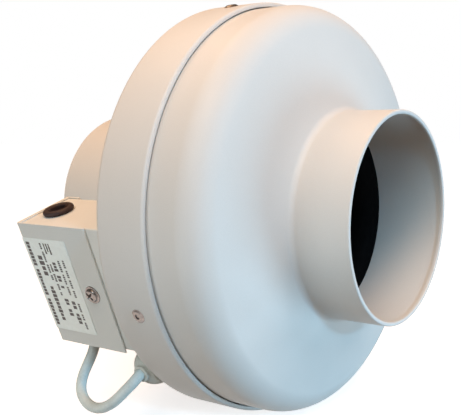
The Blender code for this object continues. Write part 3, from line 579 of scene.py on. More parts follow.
MAKERS = {
    "casing_paint": (powder_coat, (0.640, 0.628, 0.602)),
    "box_paint": (powder_coat, (0.690, 0.700, 0.672)),
    # Black plastic with its colour pushed to near zero: partly the plastic's own black, partly painted shade
    # so the shaded inside of the inlet reads black.
    "black_plastic": (matt_plastic, (0.002, 0.002, 0.0022)),
    "zinc": (plated_steel, (0.23, 0.212, 0.205)),
    # Blackened steel, darkened far below its own colour: painted shade, so the motor inside the casing reads
    # black.
    "dark_steel": (turned_metal, (0.008, 0.008, 0.009)),
    "bearing_steel": (turned_metal, (0.56, 0.56, 0.57)),
    "laminations": (sheet_stack, (0.30, 0.31, 0.33)),
    "copper": (enamelled_copper, (0.58, 0.25, 0.10)),
    "cast_aluminium": (cast_metal, (0.56, 0.57, 0.58)),
    "brown_rubber": (rubber, (0.030, 0.016, 0.015)),
    "white_rubber": (rubber, (0.58, 0.59, 0.54)),
    "cable_grey": (cable_jacket, (0.60, 0.68, 0.67)),
    "label_stock": (label_stock, (0.86, 0.92, 0.89)),
    "white_plastic": (moulded_plastic, (0.74, 0.73, 0.70)),
    "wire_brown": (moulded_plastic, (0.16, 0.06, 0.03)),
    "wire_blue": (moulded_plastic, (0.04, 0.14, 0.42)),
    "wire_earth": (moulded_plastic, (0.28, 0.46, 0.06)),
}
SKINS = {slot: maker(slot + "_finish", colour) for slot, (maker, colour) in MAKERS.items()}
INK = printing_ink("label_ink", (0.008, 0.008, 0.010))


def add_piece(name, mesh, slot, body="fan_housing", nodes=(), place=FAN):
    """A finished piece with its material, riding on a body and standing for its CAD nodes."""
    obj = linked(name, mesh)
    obj.matrix_world = place
    if not mesh.materials:
        mesh.materials.append(SKINS[slot])
    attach(obj, body)
    if nodes:
        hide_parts(*nodes)


# ---- casing

def rolled_rim(outer, thick, station, sign, wall, corners=(0.36, 0.36)):
    """The rounded end of a sheet tube, from its outside round to its inside; sign is the way it faces.

    corners holds the radii of its outer and inner corners, as shares of its thickness.
    """
    out, inn = thick * corners[0], thick * corners[1]
    return [
        *arc((outer - out, station - sign * out), out, 0, 90 * sign, 8),
        *arc((outer - thick + inn, station - sign * inn), inn, 90 * sign, 180 * sign, 8),
        (outer - thick, station - sign * thick * 0.8),
        (outer - wall, station - sign * thick),
    ]


def inlet_half_outline():
    """Spigot with its rolled rim, conical face, shoulder and skirt; it goes on inside as a sleeve."""
    centre = (INLET_HALF_R - SHOULDER_R, FACE_STATION + SHOULDER_R + 0.0011)
    brk, end = math.radians(SHOULDER_BREAK), 90.0 - FACE_SLOPE
    shift = SHOULDER_BLEND_R - SHOULDER_R
    blend = (centre[0] - shift * math.cos(brk), centre[1] + shift * math.sin(brk))
    slope = math.radians(FACE_SLOPE)
    last = (blend[0] + SHOULDER_BLEND_R * math.sin(slope), blend[1] - SHOULDER_BLEND_R * math.cos(slope))
    fillet_r = SPIGOT_R + SPIGOT_FILLET
    fillet_s = last[1] - (last[0] - fillet_r) * math.tan(slope) - SPIGOT_FILLET / math.cos(slope)
    outer = arc((fillet_r, fillet_s), SPIGOT_FILLET, 180, 90 + FACE_SLOPE, 14)
    outer += arc(blend, SHOULDER_BLEND_R, -end, -SHOULDER_BREAK, 8)
    outer += arc(centre, SHOULDER_R, -SHOULDER_BREAK, 0, 14)[1:]
    outer.append((INLET_HALF_R, SKIRT_END))
    inner = [(INLET_HALF_R - SHEET, SKIRT_END)]
    inner += arc(centre, SHOULDER_R - SHEET, 0, -SHOULDER_BREAK, 14)
    inner += arc(blend, SHOULDER_BLEND_R - SHEET, -SHOULDER_BREAK, -end, 8)[1:]
    sleeve_s = fillet_s + (SPIGOT_FILLET + SHEET) / math.cos(slope)
    inner += [(SPIGOT_R + SHEET, sleeve_s), (SPIGOT_R, sleeve_s + SHEET)]
    inner += [(SPIGOT_R, SLEEVE_END), (SPIGOT_R - SHEET, SLEEVE_END)]
    rim = rolled_rim(SPIGOT_R, RIM_THICK, 0.0, -1, SHEET)
    return outer + inner + rim[::-1]


def outlet_half_outline():
    """Rolled front edge, cylinder, flat rear face, fillet and the long outlet spigot with its rolled rim."""
    edge = (OUTLET_HALF_R - REAR_EDGE_R, REAR_STATION - REAR_EDGE_R)
    root = (SPIGOT_R + SPIGOT_FILLET, REAR_STATION + SPIGOT_FILLET)
    outer = arc(edge, REAR_EDGE_R, 0, 90, 12)
    outer += arc(root, SPIGOT_FILLET, 270, 180, 14)
    outer += rolled_rim(SPIGOT_R, RIM_THICK, LENGTH, 1, SHEET)
    inner = arc(root, SPIGOT_FILLET + SHEET, 180, 270, 14)
    inner += arc(edge, REAR_EDGE_R - SHEET, 90, 0, 8)
    front = rolled_rim(OUTLET_HALF_R, ROLL_THICK, SEAM_STATION, -1, SHEET, (0.62, 0.24))
    return outer + inner + front[::-1]


def make_casing():
    inlet = lathe(inlet_half_outline(), CASING_STEPS)
    outlet = lathe(outlet_half_outline(), CASING_STEPS)
    holes = [pin(RIVET_HOLE_R, 0.118, 0.134, radial_place(a, RIVET_STATION)) for a in RIVET_ANGLES]
    gland = pin(GLAND_NECK_R + GAP, 0.112, 0.121, GLAND_HOLE_PLACE)
    add_piece("casing_inlet_shell", combined(inlet, holes), "casing_paint", nodes=["casing_inlet_half"])
    outlet = combined(outlet, [*[hole.copy() for hole in holes], gland])
    add_piece("casing_outlet_shell", outlet, "casing_paint", nodes=["casing_outlet_half"])


def make_nozzle():
    """A flat ring behind the sleeve that curves into the throat at the impeller's eye."""
    wall, bell_r, ring_r = 0.0015, 0.0150, 0.0780
    face, bell_station, throat_end = 0.0488, 0.0630, 0.0635
    centre = (THROAT_R + bell_r, bell_station)
    outline = [(THROAT_R, throat_end), *arc(centre, bell_r, 180, 237, 20)[1:], (0.0605, face),
               *rounded_edge(ring_r, face, face + wall), (0.0615, face + wall)]
    outline += arc(centre, bell_r - wall, 232, 180, 20)
    outline.append((THROAT_R + wall, throat_end))
    add_piece("nozzle_shell", lathe(outline, ROTOR_STEPS), "black_plastic", nodes=["inlet_nozzle"])


def rounded_edge(radius, low, high):
    """The half-round outer edge of a disc."""
    half = abs(high - low) / 2
    turn = 90 if high > low else -90
    return arc((radius - half, (low + high) / 2), half, -turn, turn, 6)


def rivet(grip, head_r=0.0042, shank_r=0.0019):
    """A blind rivet along Z, its head's underside at zero: a domed flange with the broken mandrel in it."""
    hole = head_r * 0.34
    outline = [(0.0, 0.00050), (hole * 0.75, 0.00042), (hole * 0.80, 0.0002), (hole, 0.0002), (hole, 0.0009)]
    outline += [(hole + 0.00015, 0.00105), *arc((head_r * 0.46, -0.0014), 0.00250, 86, 46, 8)]
    outline += [(head_r - 0.0003, 0.00025), (head_r, 0.00012), (head_r - 0.0001, 0.0), (shank_r, 0.0)]
    outline += [(shank_r, -grip), (shank_r + 0.0008, -grip - 0.0006), (shank_r + 0.0006, -grip - 0.0026),
                (0.0, -grip - 0.0030)]
    return lathe(outline, SMALL_STEPS)


def make_rivets():
    shared = rivet(0.0081)
    for k, angle in enumerate(RIVET_ANGLES, 1):
        place = FAN @ radial_place(angle, RIVET_STATION) @ Matrix.Translation((0, 0, OUTLET_HALF_R))
        add_piece(f"casing_rivet_head_{k}", shared, "zinc", nodes=[f"casing_rivet_{k}"], place=place)


# ---- screws

def cross_recess(width, span, top, depth):
    """The tapered cross that a screwdriver fits."""
    arms = []
    for turn in (45, 135):
        low, narrow = top - depth, span * 0.26
        outline = [(-span / 2, top), (span / 2, top), (narrow, low), (-narrow, low)]
        arm = prism(outline, -width / 2, width / 2, lambda u, v, w: (u, w, v))
        arms.append(moved(arm, Matrix.Rotation(math.radians(turn), 4, "Z")))
    return arms


def pan_screw(head_r, head_h, shank_r, length, flange=0.0):
    """A pan-head screw along Z, its head's underside at zero. flange is the thickness of its washer rim."""
    dome_r = head_r * 0.76 if flange else head_r
    side = head_h * 0.35
    half = dome_r * 0.5
    outline = [(0.0, head_h), (dome_r * 0.45, head_h)]
    outline += [(half + half * math.sin(a), side + (head_h - side) * math.cos(a))
                for a in np.linspace(0.15, math.pi / 2, 8)]
    if flange:
        outline += [(dome_r, flange + 0.0002), (dome_r + 0.0002, flange), (head_r - 0.0002, flange * 0.9),
                    (head_r, flange * 0.6)]
    outline += [(head_r, 0.0001), (head_r - 0.0001, 0.0), (shank_r, 0.0)]
    pitch = shank_r * 0.45
    turns = int((length - shank_r) / pitch)
    for k in range(turns):
        outline += [(shank_r, -pitch * (k + 0.15)), (shank_r * 0.82, -pitch * (k + 0.6))]
    outline += [(shank_r * 0.8, -length + shank_r * 0.4), (shank_r * 0.5, -length), (0.0, -length)]
    body = lathe(outline, SMALL_STEPS, 40.0)
    return combined(body, cross_recess(head_r * 0.24, head_r * 1.15, head_h + 0.0002, head_h * 0.75))


# ---- impeller and motor

def blade_outline():
    """A backward-curved blade seen along the axis: an arc from the eye to the tip with rounded ends."""
    steps = 22
    middle = []
    for k in range(steps + 1):
        share = k / steps
        radius = BLADE_START + (BLADE_END - BLADE_START) * share
        angle = math.radians(-BLADE_LEAN * share ** 1.15)
        middle.append(Vector((radius * math.cos(angle), radius * math.sin(angle))))
    left, right = [], []
    for k, point in enumerate(middle):
        along = middle[min(k + 1, steps)] - middle[max(k - 1, 0)]
        from_end = min(k, steps - k) / steps
        half = BLADE_THICK / 2 * (0.55 + 0.45 * min(1.0, from_end * 8))
        side = Vector((-along.y, along.x)).normalized() * half
        left.append(tuple(point + side))
        right.append(tuple(point - side))
    return left + right[::-1]


def shroud_station(radius):
    """Station of the shroud's rear surface at a radius."""
    return 0.0658 + (radius - 0.0592) * 0.1564


def blade():
    bm = bmesh.new()
    feet, tips = [], []
    for u, v in blade_outline():
        feet.append(bm.verts.new((u, v, BACKPLATE_STATION + 0.0006)))
        tips.append(bm.verts.new((u, v, shroud_station(math.hypot(u, v)) - 0.0003)))
    bm.faces.new(feet)
    bm.faces.new(tips)
    bridge(bm, feet, tips)
    return finished(bm, 50.0)


def make_impeller():
    inner = ROTOR_CAN_R + GAP
    rib = IMPELLER_R - 0.0075
    plate = [(inner, BACKPLATE_STATION), (0.0560, BACKPLATE_STATION), (0.0568, BACKPLATE_STATION + 0.0004),
             *rounded_edge(IMPELLER_R, BACKPLATE_STATION + 0.0004, BACKPLATE_REAR),
             *rounded([(rib + 0.0018, BACKPLATE_REAR), (rib + 0.0012, BACKPLATE_REAR + 0.0014),
                       (rib - 0.0004, BACKPLATE_REAR + 0.0014), (rib - 0.0010, BACKPLATE_REAR)], 0.0002),
             (inner, BACKPLATE_REAR)]
    disc = lathe(plate, ROTOR_STEPS)
    add_piece("impeller_disc", disc, "black_plastic", "rotor", ["impeller_backplate"])
    shared = blade()
    for k in range(BLADE_COUNT):
        place = FAN @ Matrix.Rotation(2 * math.pi * k / BLADE_COUNT, 4, "Z")
        add_piece(f"impeller_blade_{k + 1}", shared, "black_plastic", "rotor", place=place)

    eye = 0.0552
    front = smooth_route([(eye + 0.0009, 0.0615), (0.0572, 0.0631), (0.0620, 0.0643), (0.0780, 0.0669),
                          (IMPELLER_R - 0.0008, 0.0696)], 0.0015)
    rear = smooth_route([(IMPELLER_R - 0.0008, 0.0713), (0.0780, 0.0687), (0.0600, 0.0659), (0.0566, 0.0648),
                         (eye + 0.0001, 0.0625)], 0.0015)
    tip = arc((IMPELLER_R - 0.0008, 0.07045), 0.0008, -80, 80, 6)
    outline = [tuple(p) for p in front] + tip + [tuple(p) for p in rear]
    ring = lathe(outline, ROTOR_STEPS, 50.0)
    add_piece("impeller_front_ring", ring, "black_plastic", "rotor", ["impeller_shroud"])
    screw = pan_screw(0.0028, 0.0018, 0.0011, 0.0050)
    facing_front = Matrix.Rotation(math.pi, 4, "X")
    for k in range(1, 5):
        place = FAN @ axial_place(90 * k - 45, IMPELLER_SCREW_R, BACKPLATE_STATION) @ facing_front
        add_piece(f"impeller_screw_head_{k}", screw, "zinc", "rotor", [f"impeller_screw_{k}"], place)


def make_rotor():
    wall = 0.0012
    inner = ROTOR_CAN_R - wall
    dish = 0.0007
    front = [(SHAFT_R + GAP, CAN_FRONT), (0.0125, CAN_FRONT), (0.0132, CAN_FRONT + dish),
             (0.0330, CAN_FRONT + dish), (0.0340, CAN_FRONT),
             *arc((ROTOR_CAN_R - 0.003, CAN_FRONT + 0.003), 0.003, -90, 0, 10)]
    skirt = [(ROTOR_CAN_R, 0.0922), (ROTOR_CAN_R + 0.0008, 0.0930), *rounded_edge(0.0520, 0.0930, 0.0942),
             (ROTOR_CAN_R, 0.0942), (ROTOR_CAN_R, 0.0970), (inner, 0.0970)]
    inside = [*arc((inner - 0.0023, CAN_FRONT + 0.0035), 0.0023, 0, -90, 6), (0.0085, CAN_FRONT + 0.0018),
              (0.0085, 0.0690), (SHAFT_R + GAP, 0.0690)]
    can = lathe(front + skirt + inside, ROTOR_STEPS)
    add_piece("rotor_can_shell", can, "dark_steel", "rotor", ["rotor_can"])


def make_shaft():
    head = [(0.0, 0.0650), (0.0012, 0.0646 - 0.0001), (0.0058, 0.0646), (0.0064, 0.0648), (0.0065, 0.0652),
            (SHAFT_R, 0.0652)]
    groove = SHAFT_R - 0.0006
    rear = [(SHAFT_R, 0.0986), (groove, 0.0986), (groove, 0.1000), (SHAFT_R, 0.1000), (SHAFT_R, 0.1009),
            (SHAFT_R - 0.0005, 0.1014), (0.0011, 0.1014), (0.0, 0.1006)]
    add_piece("motor_shaft_turned", lathe(head + rear, 48), "bearing_steel", "rotor", ["motor_shaft"])


def ring_outline(inner, outer, low, high, edge):
    return rounded([(inner, low), (outer, low), (outer, high), (inner, high)], edge)


def make_bearings():
    for name, station in BEARING_STATIONS.items():
        end = station + BEARING_WIDTH
        outer = ring_outline(0.0092, 0.0110, station, end, 0.0004)
        ring = ring_outline(0.0040, 0.0062, station, end, 0.0004)
        shield = ring_outline(0.0065, 0.0094, end - 0.0008, end - 0.0004, 0.00015)
        outer_node, inner_node = f"bearing_{name}_outer_ring", f"bearing_{name}_inner_ring"
        add_piece(f"bearing_{name}_race", lathe(outer, 64), "bearing_steel", nodes=[outer_node])
        add_piece(f"bearing_{name}_shield", lathe(shield, 64), "dark_steel")
        add_piece(f"bearing_{name}_cone", lathe(ring, 64), "bearing_steel", "rotor", [inner_node])


def arm_plan():
    """Half the bracket's outline between two arms: points across an arm and out from the axis."""
    fillet = 0.006
    reach = math.sqrt((BRACKET_R + fillet) ** 2 - (ARM_HALF + fillet) ** 2)
    centre = Vector((ARM_HALF + fillet, reach))
    start = math.pi
    stop = math.pi + math.atan2(centre.y, centre.x)
    points = [centre + fillet * Vector((math.cos(a), math.sin(a))) for a in np.linspace(start, stop, 8)]
    last = math.atan2(points[-1].x, points[-1].y)
    for angle in np.linspace(last, math.pi / 4, 10)[1:]:
        points.append(BRACKET_R * Vector((math.sin(angle), math.cos(angle))))
    return points


def ring_at(bm, across, out, corners):
    """Four corners of a foot's section: each is (radius, station), x across the arm."""
    made = []
    for (radius, station), x in corners:
        spot = across * x + out * radius
        made.append(bm.verts.new((spot.x, spot.y, station)))
    return made


def foot_sections():
    """Inner and outer (radius, station) of a foot: round its bend, then along the casing wall."""
    bend = 0.0015
    bend_r, bend_s = FOOT_INNER_R - bend, BRACKET_STATION - bend
    sections = []
    for share in np.linspace(0, math.pi / 2, 9)[1:]:
        out, along = math.sin(share), math.cos(share)
        inside = (bend_r + bend * out, bend_s + bend * along)
        outside = (bend_r + (FOOT_R - bend_r) * out, bend_s + (BRACKET_REAR - bend_s) * along)
        sections.append((inside, outside))
    sections.append(((FOOT_INNER_R, FOOT_FRONT), (FOOT_R, FOOT_FRONT)))
    return bend_r, sections


def bracket():
    """One sheet: a disc with four arms, each bent forward into a foot along the casing wall."""
    bend_r, sections = foot_sections()
    half = arm_plan()
    mirrored = [Vector((-p.x, p.y)) for p in reversed(half)]
    bm = bmesh.new()
    sides, arms = [], []
    for angle in RIVET_ANGLES:
        turn = math.radians(angle)
        across = Vector((math.cos(turn), math.sin(turn), 0.0))
        out = Vector((math.sin(turn), -math.cos(turn), 0.0))
        arms.append((len(sides) + len(mirrored), across, out))
        for p in [*mirrored, Vector((-ARM_HALF, bend_r)), Vector((ARM_HALF, bend_r)), *half[:-1]]:
            spot = across * p.x + out * p.y
            sides.append([bm.verts.new((spot.x, spot.y, s)) for s in (BRACKET_STATION, BRACKET_REAR)])
    bm.faces.new([pair[0] for pair in sides])
    bm.faces.new([pair[1] for pair in sides])
    arm_ends = {first for first, _, _ in arms}
    for i, (a, b) in enumerate(sides):
        if i not in arm_ends:
            c, d = sides[(i + 1) % len(sides)]
            bm.faces.new((a, c, d, b))
    for first, across, out in arms:
        left, right = sides[first], sides[first + 1]
        section = [left[0], right[0], right[1], left[1]]
        for inside, outside in sections:
            corners = ((inside, -ARM_HALF), (inside, ARM_HALF), (outside, ARM_HALF), (outside, -ARM_HALF))
            ring = ring_at(bm, across, out, corners)
            bridge(bm, section, ring)
            section = ring
        bm.faces.new(section)
    holes = [pin(BRACKET_HOLE_R, 0.09, 0.11)]
    holes += [pin(RIVET_HOLE_R, 0.118, 0.127, radial_place(a, RIVET_STATION)) for a in RIVET_ANGLES]
    return softened(combined(finished(bm), holes), 0.00025)


def make_motor():
    add_piece("motor_bracket_sheet", bracket(), "zinc", nodes=["motor_bracket"])
    flange = rounded([(0.0113, 0.0695), (0.0135, 0.0695), (0.0135, 0.0990), (0.0410, 0.0990),
                      (0.0410, BRACKET_STATION - GAP), (0.0113, BRACKET_STATION - GAP)],
                     [0.0003, 0.0006, 0.0020, 0.0008, 0.0006, 0.0005])
    add_piece("motor_flange_casting", lathe(flange, 128), "cast_aluminium", nodes=["motor_flange"])
    screw = pan_screw(0.0036, 0.0024, 0.0015, 0.0046)
    for k, angle in enumerate(MOTOR_SCREW_ANGLES, 1):
        place = FAN @ axial_place(angle, MOTOR_SCREW_R, BRACKET_REAR)
        add_piece(f"motor_screw_head_{k}", screw, "zinc", nodes=[f"motor_screw_{k}"], place=place)
    boss = block((-0.0075, -0.0048, 0.0320), (0.0075, 0.0050, 0.0480))
    bore = pin(CABLE_R + 0.0002, 0.038, 0.060)
    boss = softened(combined(boss, [bore]), 0.0009, 4)
    add_piece("motor_lead_housing", boss, "black_plastic", nodes=["motor_lead_boss"],
              place=FAN @ radial_place(-134.0, 0.1092))


# ---- terminal box

def on_label_face(station, height=0.0):
    """A frame on the box's label face with its Z pointing out of it."""
    turn = Matrix.Rotation(math.radians(-90), 4, "Y")
    return Matrix.Translation((-BOX_FACE, station, height)) @ turn


def make_tray():
    back, front = -(BOX_BACK + 0.0013), -(BOX_FACE - PLATE - GAP)
    rear, end = REAR_STATION + GAP, BOX_END - RETURN - GAP
    tray = softened(block((front, rear, TRAY_LOW), (back, end, TRAY_HIGH)), 0.0009, 4)
    lip_end = COVER_SCREW_STATION + 0.007
    room = block((front + PLATE, rear + PLATE, TRAY_LOW + PLATE),
                 (back - PLATE, end + 0.01, TRAY_HIGH - PLATE))
    tools = [
        softened(room, 0.0004),
        block((front - 0.01, lip_end, TRAY_LOW + PLATE), (front + 0.01, end + 0.01, TRAY_HIGH - PLATE)),
        pin(GROMMET_HOLE_R, 0.03, 0.05, Matrix.Translation((*GROMMET_PLACE, 0))),
        pin(CABLE_GROMMET_HOLE_R, -0.05, -0.03, Matrix.Translation((*CABLE_GROMMET_PLACE, 0))),
    ]
    tray = combined(tray, tools)
    add_piece("terminal_box_folded_tray", tray, "box_paint", nodes=["terminal_box_tray"], place=BOX)


def make_cover():
    """The label face and the end plate with its returns, folded from one sheet over the tray's wall."""
    hook = -(BOX_BACK + PLATE)
    fold, inside = 0.0013, 0.0004
    hook_end = BOX_END - 0.012
    corners = [(-BOX_FACE, COVER_START), (-BOX_FACE, BOX_END), (-BOX_BACK, BOX_END), (-BOX_BACK, hook_end),
               (hook, hook_end), (hook, BOX_END - PLATE), (-BOX_FACE + PLATE, BOX_END - PLATE),
               (-BOX_FACE + PLATE, COVER_START)]
    outline = rounded(corners, [0, fold, fold, 0, 0, inside, inside, 0], 6)
    returns = [block((-BOX_FACE + PLATE / 2, BOX_END - RETURN, low),
                     (-BOX_BACK, BOX_END - PLATE / 2, low + PLATE))
               for low in (-BOX_HALF, BOX_HALF - PLATE)]
    cover = combined(prism(outline, -BOX_HALF, BOX_HALF), returns, "UNION")
    hole = pin(0.0025, -0.004, 0.003, on_label_face(COVER_SCREW_STATION, COVER_SCREW_Z))
    cover = softened(combined(cover, [hole]), 0.00018, 2, 50.0)
    add_piece("terminal_box_folded_cover", cover, "box_paint", nodes=["terminal_box_cover"], place=BOX)
    screw = pan_screw(0.0055, 0.0026, 0.0018, 0.0080, 0.0007)
    place = BOX @ on_label_face(COVER_SCREW_STATION, COVER_SCREW_Z)
    add_piece("cover_screw_head", screw, "zinc", nodes=["cover_screw"], place=place)


def printed_row(draw, offset, height, start, end, word, weight):
    """Word-like blocks along one line of the label, from start down to end; they spell nothing."""
    bars, at = [], start
    while at > end + word * 0.3:
        length = min(draw.uniform(0.7, 1.3) * word, at - end)
        letters = max(1, round(length / (height * 0.72)))
        pitch = length / letters
        for k in range(letters):
            high = at - pitch * k
            tall = height * draw.choice((1.0, 1.0, 0.82, 0.82, 0.7))
            bars.append((offset, tall, high, high - pitch * weight))
        at -= length + height * 0.7
    return bars


def make_label():
    """The rating label's film, across the cover's face as far as its edge."""
    start = BOX_END - LABEL_WIDTH
    corners = [(start, -LABEL_LENGTH / 2), (BOX_END - 0.0006, -LABEL_LENGTH / 2),
               (BOX_END - 0.0006, LABEL_LENGTH / 2), (start, LABEL_LENGTH / 2)]
    plate = prism(rounded(corners, 0.0008), -LABEL_TOP, -LABEL_BASE, lambda u, v, w: (w, u, v))
    add_piece("rating_label_film", plate, "label_stock", nodes=["rating_label"], place=BOX)


def make_label_print():
    """Rows of plain dark blocks where print would be.

    A row is its distance from the cover's edge, its height, its start and end, a word's length and the
    share of its pitch that a letter takes.
    """
    draw = random.Random(4)
    rows = [
        (0.0040, 0.0031, 0.0285, -0.0285, 0.0190, 0.82),
        (0.0108, 0.0044, 0.0200, 0.0040, 0.0160, 0.76),
        (0.0112, 0.0036, -0.0005, -0.0245, 0.0240, 0.82),
        (0.0152, 0.0018, 0.0285, 0.0040, 0.0060, 0.80),
        *[(offset, 0.0013, 0.0285, 0.0215, 0.0070, 0.97) for offset in (0.0183, 0.0204, 0.0225)],
        (0.0180, 0.0018, 0.0150, -0.0060, 0.0060, 0.80),
        (0.0216, 0.0034, 0.0165, -0.0010, 0.0050, 0.76),
        (0.0206, 0.0034, -0.0080, -0.0220, 0.0050, 0.76),
        (0.0262, 0.0036, -0.0090, -0.0270, 0.0060, 0.78),
        (0.0262, 0.0018, 0.0180, -0.0050, 0.0060, 0.76),
        (0.0304, 0.0018, 0.0185, -0.0065, 0.0060, 0.76),
        (0.0304, 0.0018, -0.0100, -0.0280, 0.0060, 0.76),
    ]
    bm = bmesh.new()
    for offset, height, first, last, word, weight in rows:
        for away, tall, high, low in printed_row(draw, offset, height, first, last, word, weight):
            middle = BOX_END - away
            size = Vector((0.00003, tall, high - low))
            centre = Vector((-LABEL_TOP - 0.00002, middle, (high + low) / 2))
            made = bmesh.ops.create_cube(bm, size=1.0)["verts"]
            place = Matrix.Translation(centre) @ Matrix.Diagonal((*size, 1.0))
            bmesh.ops.transform(bm, matrix=place, verts=made)
    mesh = finished(bm)
    mesh.materials.append(INK)
    add_piece("label_print", mesh, "black_plastic", place=BOX)


def grommet(hole_r, flange_r, bore_r, wall):
    """A rubber ring in a sheet hole: a fat lip outside, a waist through the sheet and a bead inside."""
    waist = hole_r - GAP
    bead = (flange_r - waist + 0.0014) / 2
    middle = flange_r - bead
    rise = 0.0016
    outline = [(middle + bead * math.cos(a), GAP * 0.3 + rise + rise * math.sin(a))
               for a in np.radians(np.linspace(140, -90, 22))]
    outline += [(waist, GAP * 0.3), (waist, -wall - GAP)]
    outline += arc((flange_r - 0.0021, -wall - GAP - 0.0009), 0.0009, 90, -90, 8)
    outline += arc((bore_r + 0.0005, -wall - GAP - 0.0013), 0.0005, -90, -180, 4)
    outline += arc((bore_r + 0.0012, rise * 1.35), 0.0012, 180, 100, 8)
    return lathe(outline, 72, 60.0)


def make_grommets():
    top = BOX @ Matrix.Translation((*GROMMET_PLACE, TRAY_HIGH))
    mesh = grommet(GROMMET_HOLE_R, GROMMET_R, GROMMET_BORE_R, PLATE)
    add_piece("supply_grommet_ring", mesh, "brown_rubber", nodes=["supply_grommet"], place=top)
    bottom = BOX @ Matrix.Translation((*CABLE_GROMMET_PLACE, TRAY_LOW)) @ Matrix.Rotation(math.pi, 4, "X")
    mesh = grommet(CABLE_GROMMET_HOLE_R, CABLE_GROMMET_R, CABLE_R + 0.0002, PLATE)
    add_piece("cable_grommet_ring", mesh, "brown_rubber", nodes=["cable_grommet"], place=bottom)


# ---- gland and cable

def tube(name, points, radius, resolution=8):
    """A curve of one open spline with a round bevel, closed at its ends."""
    curve = bpy.data.curves.new(name, "CURVE")
    curve.dimensions = "3D"
    curve.bevel_depth = radius
    curve.bevel_resolution = resolution
    curve.use_fill_caps = True
    spline = curve.splines.new("POLY")
    spline.points.add(len(points) - 1)
    for target, point in zip(spline.points, points):
        target.co = (*point, 1.0)
    spline.use_smooth = True
    return linked(name, curve)


def route_in_world(stretch, step):
    return [Vector(p) + Vector((0, START, 0)) for p in smooth_route(CABLE_ROUTE[stretch], step)]


def make_gland():
    """A rubber elbow gland: a flange against the rear face and a bulb whose collar holds the cable."""
    base = REAR_STATION + GAP
    bulb = Vector((GLAND_BULB[0], -GLAND_BULB[2], GLAND_BULB[1]))
    tip = Vector((GLAND_TIP[0], -GLAND_TIP[2], GLAND_TIP[1]))
    reach = (tip - bulb).length
    aim = Matrix.Translation(bulb) @ (tip - bulb).to_track_quat("Z", "Y").to_matrix().to_4x4()
    seat = Matrix.Translation((GLAND_CENTRE[0], -GLAND_CENTRE[1], base))
    outline = arc((0.0, 0.0), GLAND_BULB_R, -90, 62, 30)
    outline.append((0.0051, GLAND_BULB_R * 0.93))
    outline += [*arc((0.0047, reach - 0.0007), 0.0006, 10, 100, 5), (0.0, reach)]
    outline[0] = (0.0, -GLAND_BULB_R)
    ball = moved(lathe(outline, 96), aim)
    ball = combined(ball, [moved(block((-0.03, -0.03, -0.03), (0.03, 0.03, 0.0)), seat)])
    flange = [(0.0, 0.0), (GLAND_FLANGE_R - 0.0002, 0.0), (GLAND_FLANGE_R, 0.0003), (GLAND_FLANGE_R, 0.0014),
              (GLAND_FLANGE_R - 0.0010, 0.0022), (0.0094, 0.0026), (0.0088, 0.0060), (0.0, 0.0060)]
    neck = pin(GLAND_NECK_R, base - 0.0022, base + 0.002, GLAND_HOLE_PLACE)
    solid = combined(ball, [moved(lathe(flange, 96), seat), neck], "UNION")
    guide = tube("gland_bore", route_in_world(GLAND_BORE_POINTS, 0.0015), CABLE_R + 0.00015)
    bore = evaluated(guide)
    bpy.data.objects.remove(guide)
    solid = combined(solid, [moved(bore, FAN.inverted())])
    add_piece("gland_elbow", remeshed(solid, 0.00028, 3), "white_rubber", nodes=["cable_gland"])


def make_cable():
    cable = tube("motor_cable_jacket", route_in_world(slice(None), 0.0017), CABLE_R)
    cable.data.materials.append(SKINS["cable_grey"])
    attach(cable, "fan_housing")
    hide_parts("motor_cable")


def finish_carried_nodes():
    """Gives each CAD node that stays in view its own finish in place of the plain one."""
    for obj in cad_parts.values():
        slot = obj.data.materials[0].name.split(".")[0]
        obj.data.materials[0] = SKINS[slot]


# ---- stage

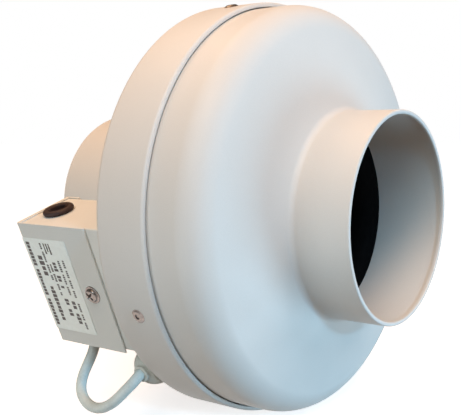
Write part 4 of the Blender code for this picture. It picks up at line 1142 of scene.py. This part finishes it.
def make_floor():
    bm = bmesh.new()
    bmesh.ops.create_circle(bm, cap_ends=True, segments=96, radius=30.0)
    floor = linked("studio_floor", finished(bm))
    floor.location.z = CAD_BOX[0].z - 0.0002
    skin = Skin("studio_floor_paint", (0.86, 0.86, 0.86), 0.7)
    skin.vary_colour(skin.noise(3.0, 2.0), (0.84, 0.84, 0.84), 0.5)
    skin.set("Emission Color", (0.96, 0.98, 1.0, 1.0))
    distance = skin.node("VectorMath")
    distance.operation = "LENGTH"
    skin.link(skin.coordinates, distance.inputs[0])
    glow = skin.between(distance.outputs["Value"], 0.72, 1.0, 0.3, 2.0)
    skin.link(glow, skin.shader.inputs["Emission Strength"])
    floor.data.materials.append(skin.material)
    floor.visible_diffuse = False
    floor.visible_shadow = False


def make_lights():
    """The soft boxes, all aimed at the middle of the fan."""
    for name, direction, size, power, colour in LIGHTS:
        light = bpy.data.lights.new(name, "AREA")
        light.shape = "DISK"
        light.size = size
        light.energy = power
        light.color = colour
        lamp = linked(name, light)
        away = Vector(direction).normalized()
        lamp.location = away * LAMP_DISTANCE
        lamp.rotation_euler = away.to_track_quat("Z", "Y").to_euler()


def make_air():
    """A warm glow all round, which the camera sees as plain white."""
    world = bpy.data.worlds.new("studio_air")
    bpy.context.scene.world = world
    world.use_nodes = True
    tree = world.node_tree
    shown, lighting = tree.nodes["Background"], tree.nodes.new("ShaderNodeBackground")
    shown.inputs["Color"].default_value = (1.0, 1.0, 1.0, 1.0)
    lighting.inputs["Color"].default_value = (*WARM, 1.0)
    lighting.inputs["Strength"].default_value = AIR_GLOW
    rays = tree.nodes.new("ShaderNodeLightPath")
    mix = tree.nodes.new("ShaderNodeMixShader")
    tree.links.new(rays.outputs["Is Camera Ray"], mix.inputs["Fac"])
    tree.links.new(lighting.outputs[0], mix.inputs[1])
    tree.links.new(shown.outputs[0], mix.inputs[2])
    tree.links.new(mix.outputs[0], tree.nodes["World Output"].inputs["Surface"])
    bpy.context.scene.view_settings.view_transform = "Standard"


def make_camera():
    data = bpy.data.cameras.new("camera")
    data.sensor_width = 36.0
    data.lens = CAMERA_LENS
    data.shift_x, data.shift_y = CAMERA_SHIFT
    camera = linked("camera", data)
    camera.location = CAMERA_PLACE
    camera.rotation_euler = Vector(CAMERA_VIEW).to_track_quat("-Z", "Y").to_euler()
    bpy.context.scene.camera = camera


def main():
    make_camera()
    make_gland()
    make_cable()
    make_casing()
    make_nozzle()
    make_rivets()
    make_impeller()
    make_rotor()
    make_shaft()
    make_bearings()
    make_motor()
    make_tray()
    make_cover()
    make_label()
    make_label_print()
    make_grommets()
    finish_carried_nodes()
    make_floor()
    make_lights()
    make_air()


main()
